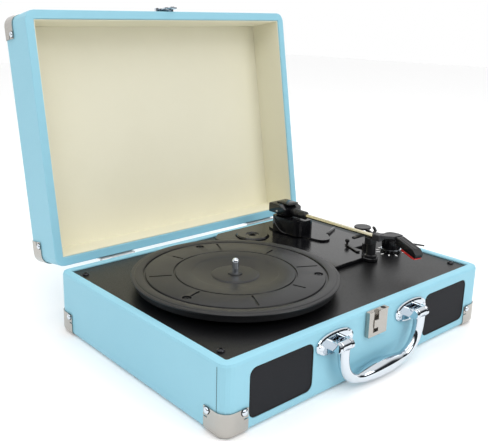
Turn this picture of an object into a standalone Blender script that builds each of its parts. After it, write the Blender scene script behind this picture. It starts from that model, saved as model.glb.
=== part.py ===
"""Portable suitcase record player, standing open.

Metres, +Z up. The origin is the centre of the case's underside, +X runs to the right along the
front, +Y to the back. The lid is built closed under an empty on the hinge axis, which opens it.
"""
import math

import bmesh
import bpy
from mathutils import Matrix, Vector

MM = 0.001
GAP = 0.3 * MM            # between pieces that touch

# Case
CASE_W = 355 * MM
CASE_D = 258 * MM
BASE_H = 62.6 * MM
LID_H = 51 * MM
WALL = 9 * MM
CORNER_R = 10 * MM
EDGE_R = 3 * MM
BOTTOM_T = 3 * MM
LID_PANEL_T = 3 * MM
LINING_T = 0.8 * MM
PARTING = 0.5 * MM
FOOT_R = 9 * MM
FOOT_H = 2 * MM
FOOT_INSET = 28 * MM
LABEL_RISE = 0.4 * MM     # raised field in the middle of the underside
LID_OPEN = math.radians(99.2)
HINGE_BEHIND = 2.6 * MM   # hinge axis behind the back wall
HINGE_BELOW = 2.2 * MM    # hinge axis below the base's rim
HINGE_X = CASE_W / 2 - 71.5 * MM
HINGE_W = 42 * MM
HINGE_LEAF = 15 * MM
HINGE_LEAF_T = 1.0 * MM
KNUCKLE_R = 2.2 * MM
PIN_R = 1.0 * MM
PROTECTOR_SIDE = 24 * MM
PROTECTOR_H = 21 * MM
PROTECTOR_T = 0.8 * MM
RIVET_R = 2.9 * MM
RIVET_IN = 19.6 * MM
RIVET_Z = 18.2 * MM

# Deck and mechanism
DECK_DROP = 1.9 * MM
DECK_T = 3 * MM
DECK_FIT = 0.4 * MM
SCREW_IN = 15.5 * MM
SCREW_HEAD_R = 3.3 * MM
PLATE_RISE = 4.2 * MM
PLATTER_X = -CASE_W / 2 + 116.5 * MM
PLATTER_Y = -8.5 * MM
PLATTER_R = CASE_D / 2 - 28.5 * MM
PLATTER_RISE = 10.1 * MM  # playing surface above the mechanism plate
PLATTER_SKIRT = 7 * MM
RING_IN = 45.5 * MM        # belt ring inside the platter's rim
PULLEY_R = 5 * MM
PULLEY_IN = 32 * MM       # pulley axis inside the platter's rim, along +X
SPINDLE_R = 3.5 * MM
SPINDLE_RISE = 13.5 * MM
BUSH_R = 7 * MM
BELT_T = 0.8 * MM
BELT_W = 2.6 * MM
MOTOR_R = 17 * MM
MOTOR_H = 24 * MM
ADAPTER_X = CASE_W / 2 - 127.5 * MM
ADAPTER_Y = CASE_D / 2 - 43 * MM
ADAPTER_R = 19 * MM

# Rear sockets
SOCKET_X = -CASE_W / 2 + 59.5 * MM
SOCKET_Z = BASE_H / 2
SOCKET_W = 46 * MM
SOCKET_H = 18 * MM
DC_X = 14 * MM
PHONO_X = 14 * MM

# Front
GRILLE_X = CASE_W / 2 - 61.5 * MM
GRILLE_Z = BASE_H / 2 - 0.8 * MM
GRILLE_W = 72.5 * MM
GRILLE_H = 44.5 * MM
GRILLE_R = 7 * MM
GRILLE_RECESS = 0.4 * MM
LUG_X = CASE_W * 0.1535
LUG_Z = BASE_H - 16.6 * MM
LUG_W = 47 * MM
LUG_H = 21 * MM
LUG_T = 2.5 * MM
EYE_W = 11.4 * MM
EYE_R = 4.6 * MM
LUG_PIN_R = 1.9 * MM
BAIL_OUT = 11 * MM        # bail axis in front of the case
BAIL_DROP = 38 * MM
BAIL_BELLY_R = 7.8 * MM
CATCH_W = 26 * MM
CATCH_H = 24.5 * MM
CATCH_TOP = BASE_H - 1.1 * MM
CATCH_T = 4.6 * MM
CHANNEL_X = -3.5 * MM
CHANNEL_W = 7 * MM
CHANNEL_D = 3 * MM
SLIDER_TRAVEL = 4 * MM
HASP_Z = BASE_H + 14.4 * MM

# Controls
KNOB_X = CASE_W / 2 - 34.5 * MM
KNOB_Y = -41 * MM
KNOB_R = 10 * MM
KNOB_H = 19.5 * MM
KNOB_SHAFT_R = 3 * MM
SPEED_X = CASE_W / 2 - 76 * MM
SPEED_Y = -27 * MM

# Arm
ARM_X = CASE_W / 2 - 80.5 * MM
ARM_Y = CASE_D / 2 - 49 * MM
TILT_RISE = 25.1 * MM     # tilt axis above the mechanism plate
TUBE_R = 2.3 * MM
REST_X = ARM_X + 3 * MM
REST_Y = -46 * MM
TUBE_END_Y = REST_Y - 12 * MM
HEAD_TURN = math.radians(14)
CLIP_OPEN = 50            # degrees the rest's clip stands open

RIM_Z = BASE_H
DECK_Z = RIM_Z - DECK_DROP
PLATE_Z = DECK_Z + PLATE_RISE
FRONT_Y = -CASE_D / 2
BACK_Y = CASE_D / 2
HINGE_Y = BACK_Y + HINGE_BEHIND
HINGE_Z = RIM_Z - HINGE_BELOW
RING_R = PLATTER_R - RING_IN
PULLEY_X = PLATTER_X + PLATTER_R - PULLEY_IN
PULLEY_Y = PLATTER_Y
PLATTER_TOP = PLATE_Z + PLATTER_RISE
SPINDLE_TOP = PLATTER_TOP + SPINDLE_RISE
TILT_Z = PLATE_Z + TILT_RISE
TUBE_Z = TILT_Z
BELT_LOW = PLATE_Z + 1.2 * MM

MATERIALS = {
    "leatherette": ((0.40, 0.70, 0.80), 0.55, 0.0),
    "lining": ((0.76, 0.73, 0.58), 0.8, 0.0),
    "board": ((0.02, 0.02, 0.02), 0.5, 0.0),
    "black_plastic": ((0.015, 0.015, 0.016), 0.35, 0.0),
    "chrome": ((0.85, 0.85, 0.87), 0.08, 1.0),
    "nickel": ((0.62, 0.60, 0.57), 0.35, 1.0),
    "rubber": ((0.02, 0.02, 0.02), 0.8, 0.0),
    "mesh": ((0.03, 0.03, 0.035), 0.7, 0.0),
    "brass": ((0.70, 0.62, 0.40), 0.3, 1.0),
    "red": ((0.60, 0.03, 0.03), 0.35, 0.0),
    "circuit": ((0.04, 0.20, 0.10), 0.5, 0.0),
    "steel": ((0.45, 0.45, 0.46), 0.35, 1.0),
}


# ---------------------------------------------------------------- helpers

def material(name):
    """Return the named material, made on first use."""
    found = bpy.data.materials.get(name)
    if found:
        return found
    colour, roughness, metallic = MATERIALS[name]
    made = bpy.data.materials.new(name)
    made.use_nodes = True
    shader = made.node_tree.nodes["Principled BSDF"]
    shader.inputs["Base Color"].default_value = (*colour, 1.0)
    shader.inputs["Roughness"].default_value = roughness
    shader.inputs["Metallic"].default_value = metallic
    return made


def piece(name, bm, look, parent=None, place=(0, 0, 0), turn=(0, 0, 0)):
    """Turn a bmesh into a named object with one material."""
    mesh = bpy.data.meshes.new(name)
    bm.to_mesh(mesh)
    bm.free()
    mesh.materials.append(material(look))
    mesh.shade_smooth()
    mesh.set_sharp_from_angle(angle=math.radians(30))
    made = bpy.data.objects.new(name, mesh)
    bpy.context.collection.objects.link(made)
    made.location = place
    made.rotation_euler = turn
    made.parent = parent
    return made


def pivot(name, place, turn=(0, 0, 0)):
    """An empty on a joint's axis."""
    made = bpy.data.objects.new(name, None)
    bpy.context.collection.objects.link(made)
    made.location = place
    made.rotation_euler = turn
    return made


def shape(target, tools, operation):
    """Join or cut a target with tool meshes, kept as hidden objects."""
    for number, bm in enumerate(tools):
        tool = piece(f"{target.name}_{operation.lower()}_{number}_{len(target.modifiers)}", bm, "steel",
                     parent=target.parent, place=target.location, turn=target.rotation_euler)
        tool.hide_render = True
        tool.display_type = "WIRE"
        modifier = target.modifiers.new(tool.name, "BOOLEAN")
        modifier.operation = operation
        modifier.solver = "EXACT"
        modifier.object = tool
    return target


def fuse(target, *tools):
    return shape(target, tools, "UNION")


def cut(target, *tools):
    return shape(target, tools, "DIFFERENCE")


def block(low, high, bevel=0.0, segments=1):
    """Box between two corners, with all its edges bevelled."""
    bm = bmesh.new()
    bmesh.ops.create_cube(bm, size=1.0)
    size = Vector(high) - Vector(low)
    middle = (Vector(high) + Vector(low)) / 2
    bmesh.ops.scale(bm, vec=size, verts=bm.verts)
    bmesh.ops.translate(bm, vec=middle, verts=bm.verts)
    if bevel:
        bmesh.ops.bevel(bm, geom=bm.edges[:], offset=bevel, segments=segments, profile=0.5,
                        affect="EDGES")
    return bm


def moved(bm, offset=(0, 0, 0), angle=0.0, axis="Z"):
    """Turn a bmesh about an axis through the origin, then move it."""
    bmesh.ops.rotate(bm, cent=(0, 0, 0), matrix=Matrix.Rotation(angle, 3, axis), verts=bm.verts)
    bmesh.ops.translate(bm, vec=offset, verts=bm.verts)
    return bm


def rings(loops, closed=False):
    """Skin a list of point loops; the ends are capped, or joined when closed."""
    bm = bmesh.new()
    rows = [[bm.verts.new(point) for point in loop] for loop in loops]
    count = len(rows[0])
    pairs = list(zip(rows, rows[1:]))
    if closed:
        pairs.append((rows[-1], rows[0]))
    for lower, upper in pairs:
        for k in range(count):
            n = (k + 1) % count
            bm.faces.new((lower[k], lower[n], upper[n], upper[k]))
    if not closed:
        bm.faces.new(rows[0][::-1])
        bm.faces.new(rows[-1])
    bmesh.ops.recalc_face_normals(bm, faces=bm.faces)
    return bm


def circle(radius, height, segments, centre=(0, 0)):
    """Points of a level circle."""
    step = 2 * math.pi / segments
    return [(centre[0] + radius * math.cos(step * k), centre[1] + radius * math.sin(step * k), height)
            for k in range(segments)]


def turned(profile, segments=32, closed=False, centre=(0, 0)):
    """Solid of revolution about +Z from (radius, height) pairs; closed makes a ring."""
    return rings([circle(r, z, segments, centre) for r, z in profile], closed)


def rod(radius, length, segments=16, chamfer=0.0):
    """Cylinder from z = 0 up, with chamfered ends."""
    c = chamfer
    if not c:
        return turned([(radius, 0), (radius, length)], segments)
    return turned([(radius - c, 0), (radius, c), (radius, length - c), (radius - c, length)], segments)


def cross_rod(radius, length, centre, segments=16, chamfer=0.0):
    """Cylinder along X, centred on a point."""
    bm = rod(radius, length, segments, chamfer)
    return moved(moved(bm, (0, 0, -length / 2)), centre, math.pi / 2, "Y")


def front_rod(radius, length, back, segments=16, chamfer=0.0):
    """Cylinder that runs from a back point towards -Y."""
    return moved(rod(radius, length, segments, chamfer), back, math.pi / 2, "X")


def rounded(width, depth, radius, steps=4):
    """Outline of a rounded rectangle about the origin, counter-clockwise."""
    corners = [(1, 1, 0), (-1, 1, 90), (-1, -1, 180), (1, -1, 270)]
    points = []
    for sx, sy, start in corners:
        cx = sx * (width / 2 - radius)
        cy = sy * (depth / 2 - radius)
        for k in range(steps + 1):
            a = math.radians(start + 90 * k / steps)
            points.append((cx + radius * math.cos(a), cy + radius * math.sin(a)))
    return points


def case_loop(inset, height, width=CASE_W, depth=CASE_D, radius=CORNER_R, steps=4):
    """Case outline pulled in by an inset, at a height."""
    corner = max(radius - inset, 1 * MM)
    outline = rounded(width - 2 * inset, depth - 2 * inset, corner, steps)
    return [(x, y, height) for x, y in outline]


def prism(outline, low, high):
    """Upright prism over an outline."""
    return rings([[(x, y, low) for x, y in outline], [(x, y, high) for x, y in outline]])


def front_prism(outline, back_y, front_y):
    """Prism along Y over an outline of (x, z) points."""
    return rings([[(x, back_y, z) for x, z in outline], [(x, front_y, z) for x, z in outline]])


def hull_of_circles(circles, steps=36):
    """Outline that wraps round a few circles (x, y, radius), counter-clockwise."""
    points = []
    for k in range(steps):
        a = 2 * math.pi * k / steps
        away = Vector((math.cos(a), math.sin(a)))
        x, y, r = max(circles, key=lambda c: c[0] * away.x + c[1] * away.y + c[2])
        points.append((x + r * away.x, y + r * away.y))
    return points


# ---------------------------------------------------------------- case base

def corner_mesh():
    """Metal protector for the corner at +X, +Y of a base, with its corner point at the origin."""
    span = 60 * MM
    side = PROTECTOR_SIDE

    def envelope(name, grow):
        size = 2 * (span + grow)
        edge = EDGE_R + grow
        cut_in = edge * (1 - math.cos(math.pi / 4))
        corner = CORNER_R + grow
        loops = [case_loop(edge, -grow, size, size, corner, 6),
                 case_loop(cut_in, -grow + cut_in, size, size, corner, 6),
                 case_loop(0, -grow + edge, size, size, corner, 6),
                 case_loop(0, span, size, size, corner, 6)]
        bm = rings(loops)
        return moved(bm, (-span, -span, 0))

    reach = 3 * MM
    lug = 4 * MM
    flange = [(reach, -side), (reach, reach), (-side, reach), (-side, -lug), (-lug, -side)]
    shell = piece("corner_shell", prism(flange, -reach, PROTECTOR_H), "nickel")
    outer = piece("corner_outer", envelope("outer", GAP + PROTECTOR_T), "nickel")
    modifier = shell.modifiers.new("within", "BOOLEAN")
    modifier.operation = "INTERSECT"
    modifier.object = outer
    notch_low = 11.6 * MM
    notch_high = 12.8 * MM
    notch_in = side - 4.5 * MM
    cut(shell, envelope("inner", GAP),
        block((-side - reach, -reach, notch_low), (-notch_in, 2 * reach, notch_high)),
        block((-reach, -side - reach, notch_low), (2 * reach, -notch_in, notch_high)))
    proud = GAP + PROTECTOR_T
    dome = [(RIVET_R, 0), (RIVET_R, 0.8 * MM), (RIVET_R * 0.75, 1.5 * MM), (RIVET_R * 0.35, 1.9 * MM)]
    root = 0.4 * MM
    for angle, axis, place in ((math.pi / 2, "Y", (proud - root, -RIVET_IN, RIVET_Z)),
                               (-math.pi / 2, "X", (-RIVET_IN, proud - root, RIVET_Z))):
        fuse(shell, moved(turned(dome, 12), place, angle, axis))
    graph = bpy.context.evaluated_depsgraph_get()
    mesh = bpy.data.meshes.new_from_object(shell.evaluated_get(graph))
    mesh.name = "corner_protector"
    for leftover in [o for o in bpy.data.objects if o.name.startswith("corner_")]:
        bpy.data.objects.remove(leftover)
    return mesh


def place_corner(name, mesh, place, turn, parent=None):
    made = bpy.data.objects.new(name, mesh)
    bpy.context.collection.objects.link(made)
    made.location = place
    made.rotation_euler = turn
    made.parent = parent
    return made


def edge_profile(inset, height, up):
    """Three loops of a rounded edge; up = 1 closes towards the top, -1 towards the bottom."""
    half = EDGE_R * (1 - math.cos(math.pi / 4))
    loops = [case_loop(inset, height - up * EDGE_R),
             case_loop(inset + half, height - up * half),
             case_loop(inset + EDGE_R, height)]
    return loops if up > 0 else loops[::-1]


def build_base():
    floor = BOTTOM_T + GAP
    outside = edge_profile(0, 0, -1) + edge_profile(0, RIM_Z, 1)
    inner_edge = 1 * MM
    inside = [case_loop(WALL - inner_edge, RIM_Z), case_loop(WALL, RIM_Z - inner_edge),
              case_loop(WALL, floor + 4 * MM), case_loop(WALL - 4 * MM, floor + 4 * MM),
              case_loop(WALL - 4 * MM, 0)]
    shell = piece("base_shell", rings(outside + inside, closed=True), "leatherette")
    hole = rounded(GRILLE_W, GRILLE_H, GRILLE_R)
    for side in (-1, 1):
        outline = [(side * GRILLE_X + x, GRILLE_Z + z) for x, z in hole]
        cut(shell, front_prism(outline, FRONT_Y + 2 * WALL, FRONT_Y - WALL))
    cut(shell, socket_hole())
    board = WALL - 4 * MM + GAP
    field = FOOT_INSET + FOOT_R + 9 * MM
    panel = rings([case_loop(field, 0), case_loop(field - LABEL_RISE, LABEL_RISE),
                   case_loop(board, LABEL_RISE), case_loop(board, BOTTOM_T)])
    piece("bottom_panel", panel, "board")
    for number, (sx, sy) in enumerate(((-1, -1), (1, -1), (1, 1), (-1, 1)), 1):
        x = sx * (CASE_W / 2 - FOOT_INSET)
        y = sy * (CASE_D / 2 - FOOT_INSET)
        foot = turned([(FOOT_R - 1 * MM, -FOOT_H), (FOOT_R, -FOOT_H + 0.6 * MM),
                       (FOOT_R, LABEL_RISE - GAP)], 20)
        piece(f"foot_{number}", foot, "rubber", place=(x, y, 0))


def build_base_corners(mesh):
    for number, (sx, sy, turn) in enumerate(((1, 1, 0), (-1, 1, 90), (-1, -1, 180), (1, -1, 270)), 1):
        place_corner(f"base_corner_{number}", mesh, (sx * CASE_W / 2, sy * CASE_D / 2, 0),
                     (0, 0, math.radians(turn)))


# ---------------------------------------------------------------- deck

def deck_outline():
    return [(x, y) for x, y, _ in case_loop(WALL + DECK_FIT, 0)]


def build_deck():
    deck = piece("deck_board", prism(deck_outline(), DECK_Z - DECK_T, DECK_Z), "board")
    through = (DECK_Z - 2 * DECK_T, DECK_Z + DECK_T)

    def hole(radius, x, y, segments=20):
        return turned([(radius, through[0]), (radius, through[1])], segments, centre=(x, y))

    cut(deck, hole(BUSH_R + 5 * MM, PLATTER_X, PLATTER_Y), hole(MOTOR_R + 2 * MM, PULLEY_X, PULLEY_Y),
        hole(KNOB_SHAFT_R + 1 * MM, KNOB_X, KNOB_Y, 12))
    head = [(SCREW_HEAD_R, 0), (SCREW_HEAD_R, 0.8 * MM), (SCREW_HEAD_R * 0.7, 1.9 * MM), (0.8 * MM, 2.2 * MM)]
    for number, (sx, sy) in enumerate(((-1, -1), (1, -1), (1, 1), (-1, 1)), 1):
        x = sx * (CASE_W / 2 - SCREW_IN - 1 * MM)
        y = sy * (CASE_D / 2 - SCREW_IN - WALL)
        screw = piece(f"deck_screw_{number}", turned(head, 14), "steel", place=(x, y, DECK_Z + GAP))
        fuse(screw, turned([(1.3 * MM, -9 * MM), (1.3 * MM, 0.5 * MM)], 10))
        cut(deck, hole(1.7 * MM, x, y, 12))


def plate_outline():
    """Raised mechanism plate: right-hand field, rest corner and the tongue under the platter."""
    back = BACK_Y - WALL - 3.5 * MM
    right = CASE_W / 2 - 28.5 * MM
    front = REST_Y + 3 * MM
    step_x = REST_X + 11 * MM
    tongue_x = PLATTER_X - 34 * MM
    left = ADAPTER_X - 41 * MM
    tab = 8 * MM
    outline = [(left + 13 * MM, back), (left, back - 11 * MM), (left, back - 60 * MM), (tongue_x, 22 * MM),
               (tongue_x, front), (REST_X - tab, front)]
    for k in range(1, 8):
        a = math.radians(180 + 180 * k / 8)
        outline.append((REST_X + tab * math.cos(a), front - 3 * MM + tab * math.sin(a)))
    outline += [(REST_X + tab, front), (step_x, front), (step_x, -16 * MM), (right, -16 * MM),
                (right, back)]
    return outline


def build_mechanism():
    low = DECK_Z + GAP
    plate = piece("mechanism_plate", prism(plate_outline(), low, PLATE_Z), "black_plastic")
    bevel = plate.modifiers.new("soft_edge", "BEVEL")
    bevel.width = 0.6 * MM
    bevel.segments = 1
    bevel.limit_method = "ANGLE"
    bevel.angle_limit = math.radians(40)

    def well(radius, x, y, bottom, segments=24):
        return turned([(radius, bottom), (radius, PLATE_Z + 5 * MM)], segments, centre=(x, y))

    cut(plate, well(BUSH_R + GAP, PLATTER_X, PLATTER_Y, low - 5 * MM, 20),
        well(PULLEY_R + 3 * MM, PULLEY_X, PULLEY_Y, low - 5 * MM),
        well(ADAPTER_R + 1 * MM, ADAPTER_X, ADAPTER_Y, PLATE_Z - 2.2 * MM, 32),
        well(2.6 * MM, SPEED_X, SPEED_Y, PLATE_Z - 2 * MM, 12))

    bush_low = DECK_Z - 12 * MM
    bore = SPINDLE_R + GAP
    bush = [(BUSH_R, bush_low), (BUSH_R, PLATE_Z + GAP), (BUSH_R + 3 * MM, PLATE_Z + GAP),
            (BUSH_R + 3 * MM, PLATE_Z + 1.3 * MM), (bore, PLATE_Z + 1.3 * MM), (bore, bush_low)]
    piece("bearing_bush", turned(bush, 20, closed=True), "brass", place=(PLATTER_X, PLATTER_Y, 0))

    motor_top = DECK_Z - DECK_T - GAP
    r = MOTOR_R
    can = [(r - 1 * MM, motor_top - MOTOR_H), (r, motor_top - MOTOR_H + 1 * MM), (r, motor_top - 1 * MM),
           (r - 1 * MM, motor_top), (2 * MM, motor_top), (2 * MM, motor_top - 6 * MM)]
    piece("drive_motor", turned(can, 24), "steel", place=(PULLEY_X, PULLEY_Y, 0))
    for_pulley = [(1.5 * MM, motor_top - 5 * MM), (1.5 * MM, PLATE_Z - 1 * MM), (PULLEY_R + 1 * MM, PLATE_Z - 1 * MM),
                  (PULLEY_R + 1 * MM, BELT_LOW - GAP), (PULLEY_R, BELT_LOW), (PULLEY_R, BELT_LOW + BELT_W),
                  (PULLEY_R + 1 * MM, BELT_LOW + BELT_W + GAP), (PULLEY_R + 1 * MM, BELT_LOW + BELT_W + 0.8 * MM)]
    piece("motor_pulley", turned(for_pulley, 20), "brass", place=(PULLEY_X, PULLEY_Y, 0))
    build_belt()
    build_platter()

    hub = 8 * MM
    top = PLATE_Z + 2.3 * MM
    low = PLATE_Z - 2.2 * MM + GAP
    adapter = [(ADAPTER_R - 0.5 * MM, low), (ADAPTER_R, low + 0.5 * MM), (ADAPTER_R, top - 1.4 * MM),
               (ADAPTER_R - 1.5 * MM, top), (hub, top), (hub - 1 * MM, top - 1 * MM), (SPINDLE_R + 2 * MM, top - 1 * MM),
               (SPINDLE_R + GAP, top - 1.6 * MM), (SPINDLE_R + GAP, low)]
    piece("single_adapter", turned(adapter, 32, closed=True), "black_plastic", place=(ADAPTER_X, ADAPTER_Y, 0))


def build_belt():
    """Flat belt round the platter's ring and the pulley."""
    def loop(grow, z):
        circles = [(PLATTER_X, PLATTER_Y, RING_R + grow), (PULLEY_X, PULLEY_Y, PULLEY_R + grow)]
        return [(x, y, z) for x, y in hull_of_circles(circles, 72)]
    near = 0.35 * MM
    far = near + BELT_T
    top = BELT_LOW + BELT_W
    loops = [loop(near, BELT_LOW), loop(far, BELT_LOW), loop(far, top), loop(near, top)]
    piece("drive_belt", rings(loops, closed=True), "rubber")


def build_platter():
    t = PLATTER_TOP
    rim = PLATTER_R
    low = t - PLATTER_SKIRT
    web = t - 3 * MM
    bore = SPINDLE_R + 0.1 * MM
    hub = 12 * MM
    arm = RING_R - 3 * MM - hub
    profile = [
        (bore, t - 3 * MM), (21 * MM, t - 3 * MM), (23 * MM, t - 3.4 * MM), (40.5 * MM, t - 0.2 * MM),
        (57.7 * MM, t), (58.1 * MM, t - 1.2 * MM), (59.1 * MM, t - 1.2 * MM), (59.5 * MM, t),
        (rim - 14.5 * MM, t), (rim - 14 * MM, t - 1.6 * MM), (rim - 12 * MM, t - 1.6 * MM),
        (rim - 11 * MM, t), (rim - 4.5 * MM, t), (rim - 3.5 * MM, t - 0.9 * MM),
        (rim - 0.8 * MM, t - 0.9 * MM),
        (rim, t - 1.5 * MM), (rim - 0.3 * MM, t - 2.4 * MM), (rim - 2 * MM, t - 3 * MM),
        (rim - 3 * MM, low), (rim - 5.5 * MM, low), (rim - 5.5 * MM, web - 1 * MM),
        (rim - 15 * MM, web - 1.6 * MM), (RING_R, web - 1 * MM), (RING_R, BELT_LOW), (RING_R - 3 * MM, BELT_LOW),
        (RING_R - 3 * MM, web - 2 * MM), (hub + 0.75 * arm, web - 2.6 * MM),
        (hub + 0.3 * arm, t - 6.4 * MM), (hub, t - 6.4 * MM),
        (hub, PLATE_Z + 1.3 * MM + GAP), (bore, PLATE_Z + 1.3 * MM + GAP)]
    place = (PLATTER_X, PLATTER_Y, 0)
    piece("platter", turned(profile, 56, closed=True), "black_plastic", place=place)
    tip = SPINDLE_TOP
    shaft = [(SPINDLE_R, DECK_Z - 14 * MM), (SPINDLE_R, tip - 2.5 * MM), (SPINDLE_R * 0.8, tip - 1 * MM),
             (SPINDLE_R * 0.35, tip)]
    piece("spindle_shaft", turned(shaft, 20), "chrome", place=place)


# ---------------------------------------------------------------- electrics

def socket_hole():
    outline = [(SOCKET_X + x, SOCKET_Z + z) for x, z in rounded(SOCKET_W, SOCKET_H, 2 * MM, 2)]
    return front_prism(outline, BACK_Y + WALL, BACK_Y - 2 * WALL)


def build_electrics():
    face = BACK_Y - 1.5 * MM
    outline = [(SOCKET_X + x, SOCKET_Z + z) for x, z in
               rounded(SOCKET_W - 2 * GAP, SOCKET_H - 2 * GAP, 2 * MM - GAP, 2)]
    strip = piece("socket_strip", front_prism(outline, face, face - 12 * MM), "black_plastic")
    cut(strip, front_rod(3.3 * MM, 10 * MM, (SOCKET_X - DC_X, face + 1 * MM, SOCKET_Z), 16))
    for dx in (1 * MM, PHONO_X + 1 * MM):
        fuse(strip, front_rod(4.2 * MM, 6 * MM, (SOCKET_X + dx, face + 1 * MM, SOCKET_Z), 14))

    board_z = BOTTOM_T + 8 * MM
    piece("circuit_board", block((-CASE_W / 2 + 20 * MM, BACK_Y - 67 * MM, board_z),
                                 (-CASE_W / 2 + 106 * MM, BACK_Y - 22 * MM, board_z + 1.6 * MM)), "circuit")

    pot_top = DECK_Z - DECK_T - GAP
    pot = piece("volume_pot", block((KNOB_X - 9 * MM, KNOB_Y - 9 * MM, pot_top - 10 * MM),
                                    (KNOB_X + 9 * MM, KNOB_Y + 9 * MM, pot_top), 1 * MM), "steel")
    fuse(pot, turned([(KNOB_SHAFT_R, pot_top - 1 * MM), (KNOB_SHAFT_R, DECK_Z + 12 * MM)], 16,
                     centre=(KNOB_X, KNOB_Y)))
    low = DECK_Z + GAP
    top = low + KNOB_H
    bore = KNOB_SHAFT_R + GAP
    bore_top = DECK_Z + 12.5 * MM
    knob = [(0.5 * MM, bore_top), (bore, bore_top), (bore, low), (KNOB_R + 1 * MM, low),
            (KNOB_R + 1 * MM, low + 3 * MM), (KNOB_R, low + 4 * MM), (KNOB_R - 0.4 * MM, top - 1 * MM),
            (KNOB_R - 1.4 * MM, top), (0.5 * MM, top)]
    piece("volume_knob", turned(knob, 24), "black_plastic", place=(KNOB_X, KNOB_Y, 0))

    for side, name in ((-1, "left"), (1, "right")):
        build_speaker(side, name)


def build_speaker(side, name):
    x = side * GRILLE_X
    fit = GAP
    face = FRONT_Y + GRILLE_RECESS
    outline = [(x + px, GRILLE_Z + pz) for px, pz in rounded(GRILLE_W - 2 * fit, GRILLE_H - 2 * fit, GRILLE_R - fit)]
    piece(f"speaker_grille_{name}", front_prism(outline, face + 3 * MM, face), "mesh")
    inner_wall = FRONT_Y + WALL
    back = inner_wall + GAP
    driver = [(23 * MM, 0), (26 * MM, 0), (26 * MM, 2.5 * MM), (24 * MM, 3 * MM), (15 * MM, 14 * MM), (14 * MM, 14.5 * MM),
              (14 * MM, 26 * MM), (13 * MM, 27 * MM), (2 * MM, 27 * MM), (2 * MM, 8 * MM), (8 * MM, 8 * MM)]
    speaker = turned(driver, 24, closed=True)
    moved(speaker, (x, back, GRILLE_Z), -math.pi / 2, "X")
    piece(f"speaker_{name}", speaker, "black_plastic")


# ---------------------------------------------------------------- handle, catch and hinges

def ellipse(width, height, steps=28, power=2.6):
    """Superellipse outline, fuller than an ellipse, of (x, z) points."""
    points = []
    for k in range(steps):
        a = 2 * math.pi * k / steps
        c = math.cos(a)
        s = math.sin(a)
        r = (abs(c) ** power + abs(s) ** power) ** (-1 / power)
        points.append((width / 2 * r * c, height / 2 * r * s))
    return points


def build_handle():
    axis_y = FRONT_Y - BAIL_OUT
    seat = FRONT_Y - GAP
    for side, name in ((-1, "left"), (1, "right")):
        x = side * LUG_X
        loops = []
        for narrow, proud in ((0, 0), (0, 1 * MM), (1.4 * MM, 1.9 * MM), (4.4 * MM, LUG_T)):
            outline = ellipse(LUG_W - narrow, LUG_H - narrow, power=2.3)
            loops.append([(x + px, seat - proud, LUG_Z + pz) for px, pz in outline])
        lug = piece(f"handle_lug_{name}", rings(loops), "chrome")
        ear_in = EYE_W / 2 + GAP
        ear_out = ear_in + 3 * MM
        ears = []
        for way in (-1, 1):
            low_x, high_x = sorted((x + way * ear_in, x + way * ear_out))
            ear = block((low_x, axis_y, LUG_Z - 4.6 * MM), (high_x, seat - LUG_T / 2, LUG_Z + 4.6 * MM), 0.6 * MM)
            ears.append(ear)
            middle = ((low_x + high_x) / 2, axis_y, LUG_Z)
            ears.append(cross_rod(4.8 * MM, high_x - low_x, middle, 18, 0.6 * MM))
            screw_x = x + way * (LUG_W / 2 - 5 * MM)
            ears.append(front_rod(2.6 * MM, 1.4 * MM, (screw_x, seat - LUG_T + 0.4 * MM, LUG_Z), 12, 0.5 * MM))
        fuse(lug, *ears, cross_rod(LUG_PIN_R, 2 * ear_in + 2 * MM, (x, axis_y, LUG_Z), 12))

    def radius_at(t):
        """Half thickness along the bail: waist at both ends of the grip, belly in the middle."""
        arm = 4.6 * MM
        belly = math.exp(-((t - 0.5) / 0.19) ** 4)
        return arm + (BAIL_BELLY_R - arm) * belly

    reach = 27 * MM
    straight = BAIL_DROP - reach
    path = []
    for k in range(3):
        path.append((-LUG_X, -EYE_R * 0.6 - (straight - EYE_R * 0.6) * k / 3))
    for k in range(11):
        a = math.pi / 2 * k / 10
        path.append((-LUG_X + reach * (1 - math.cos(a)), -straight - reach * math.sin(a)))
    half_grip = LUG_X - reach
    for k in range(1, 7):
        path.append((-half_grip + half_grip * k / 6, -BAIL_DROP))
    path += [(-px, pz) for px, pz in path[-2::-1]]
    loops = []
    sides = 12
    for k, (px, pz) in enumerate(path):
        t = k / (len(path) - 1)
        ahead = Vector(path[min(k + 1, len(path) - 1)]) - Vector(path[max(k - 1, 0)])
        ahead.normalize()
        across = Vector((-ahead.y, ahead.x))
        r = radius_at(t)
        wide = r * (1.2 if min(t, 1 - t) < 0.3 else 1.0)
        loop = []
        for s in range(sides):
            a = 2 * math.pi * s / sides
            side_out = wide * math.cos(a)
            loop.append((px + across.x * side_out, r * math.sin(a), pz + across.y * side_out))
        loops.append(loop)
    bail = piece("handle_bail", rings(loops), "chrome", place=(0, axis_y, LUG_Z))
    for side in (-1, 1):
        fuse(bail, cross_rod(EYE_R, EYE_W, (side * LUG_X, 0, 0), 20, 0.6 * MM))
    for side in (-1, 1):
        cut(bail, cross_rod(LUG_PIN_R + GAP, EYE_W * 1.5, (side * LUG_X, 0, 0), 12))


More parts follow.
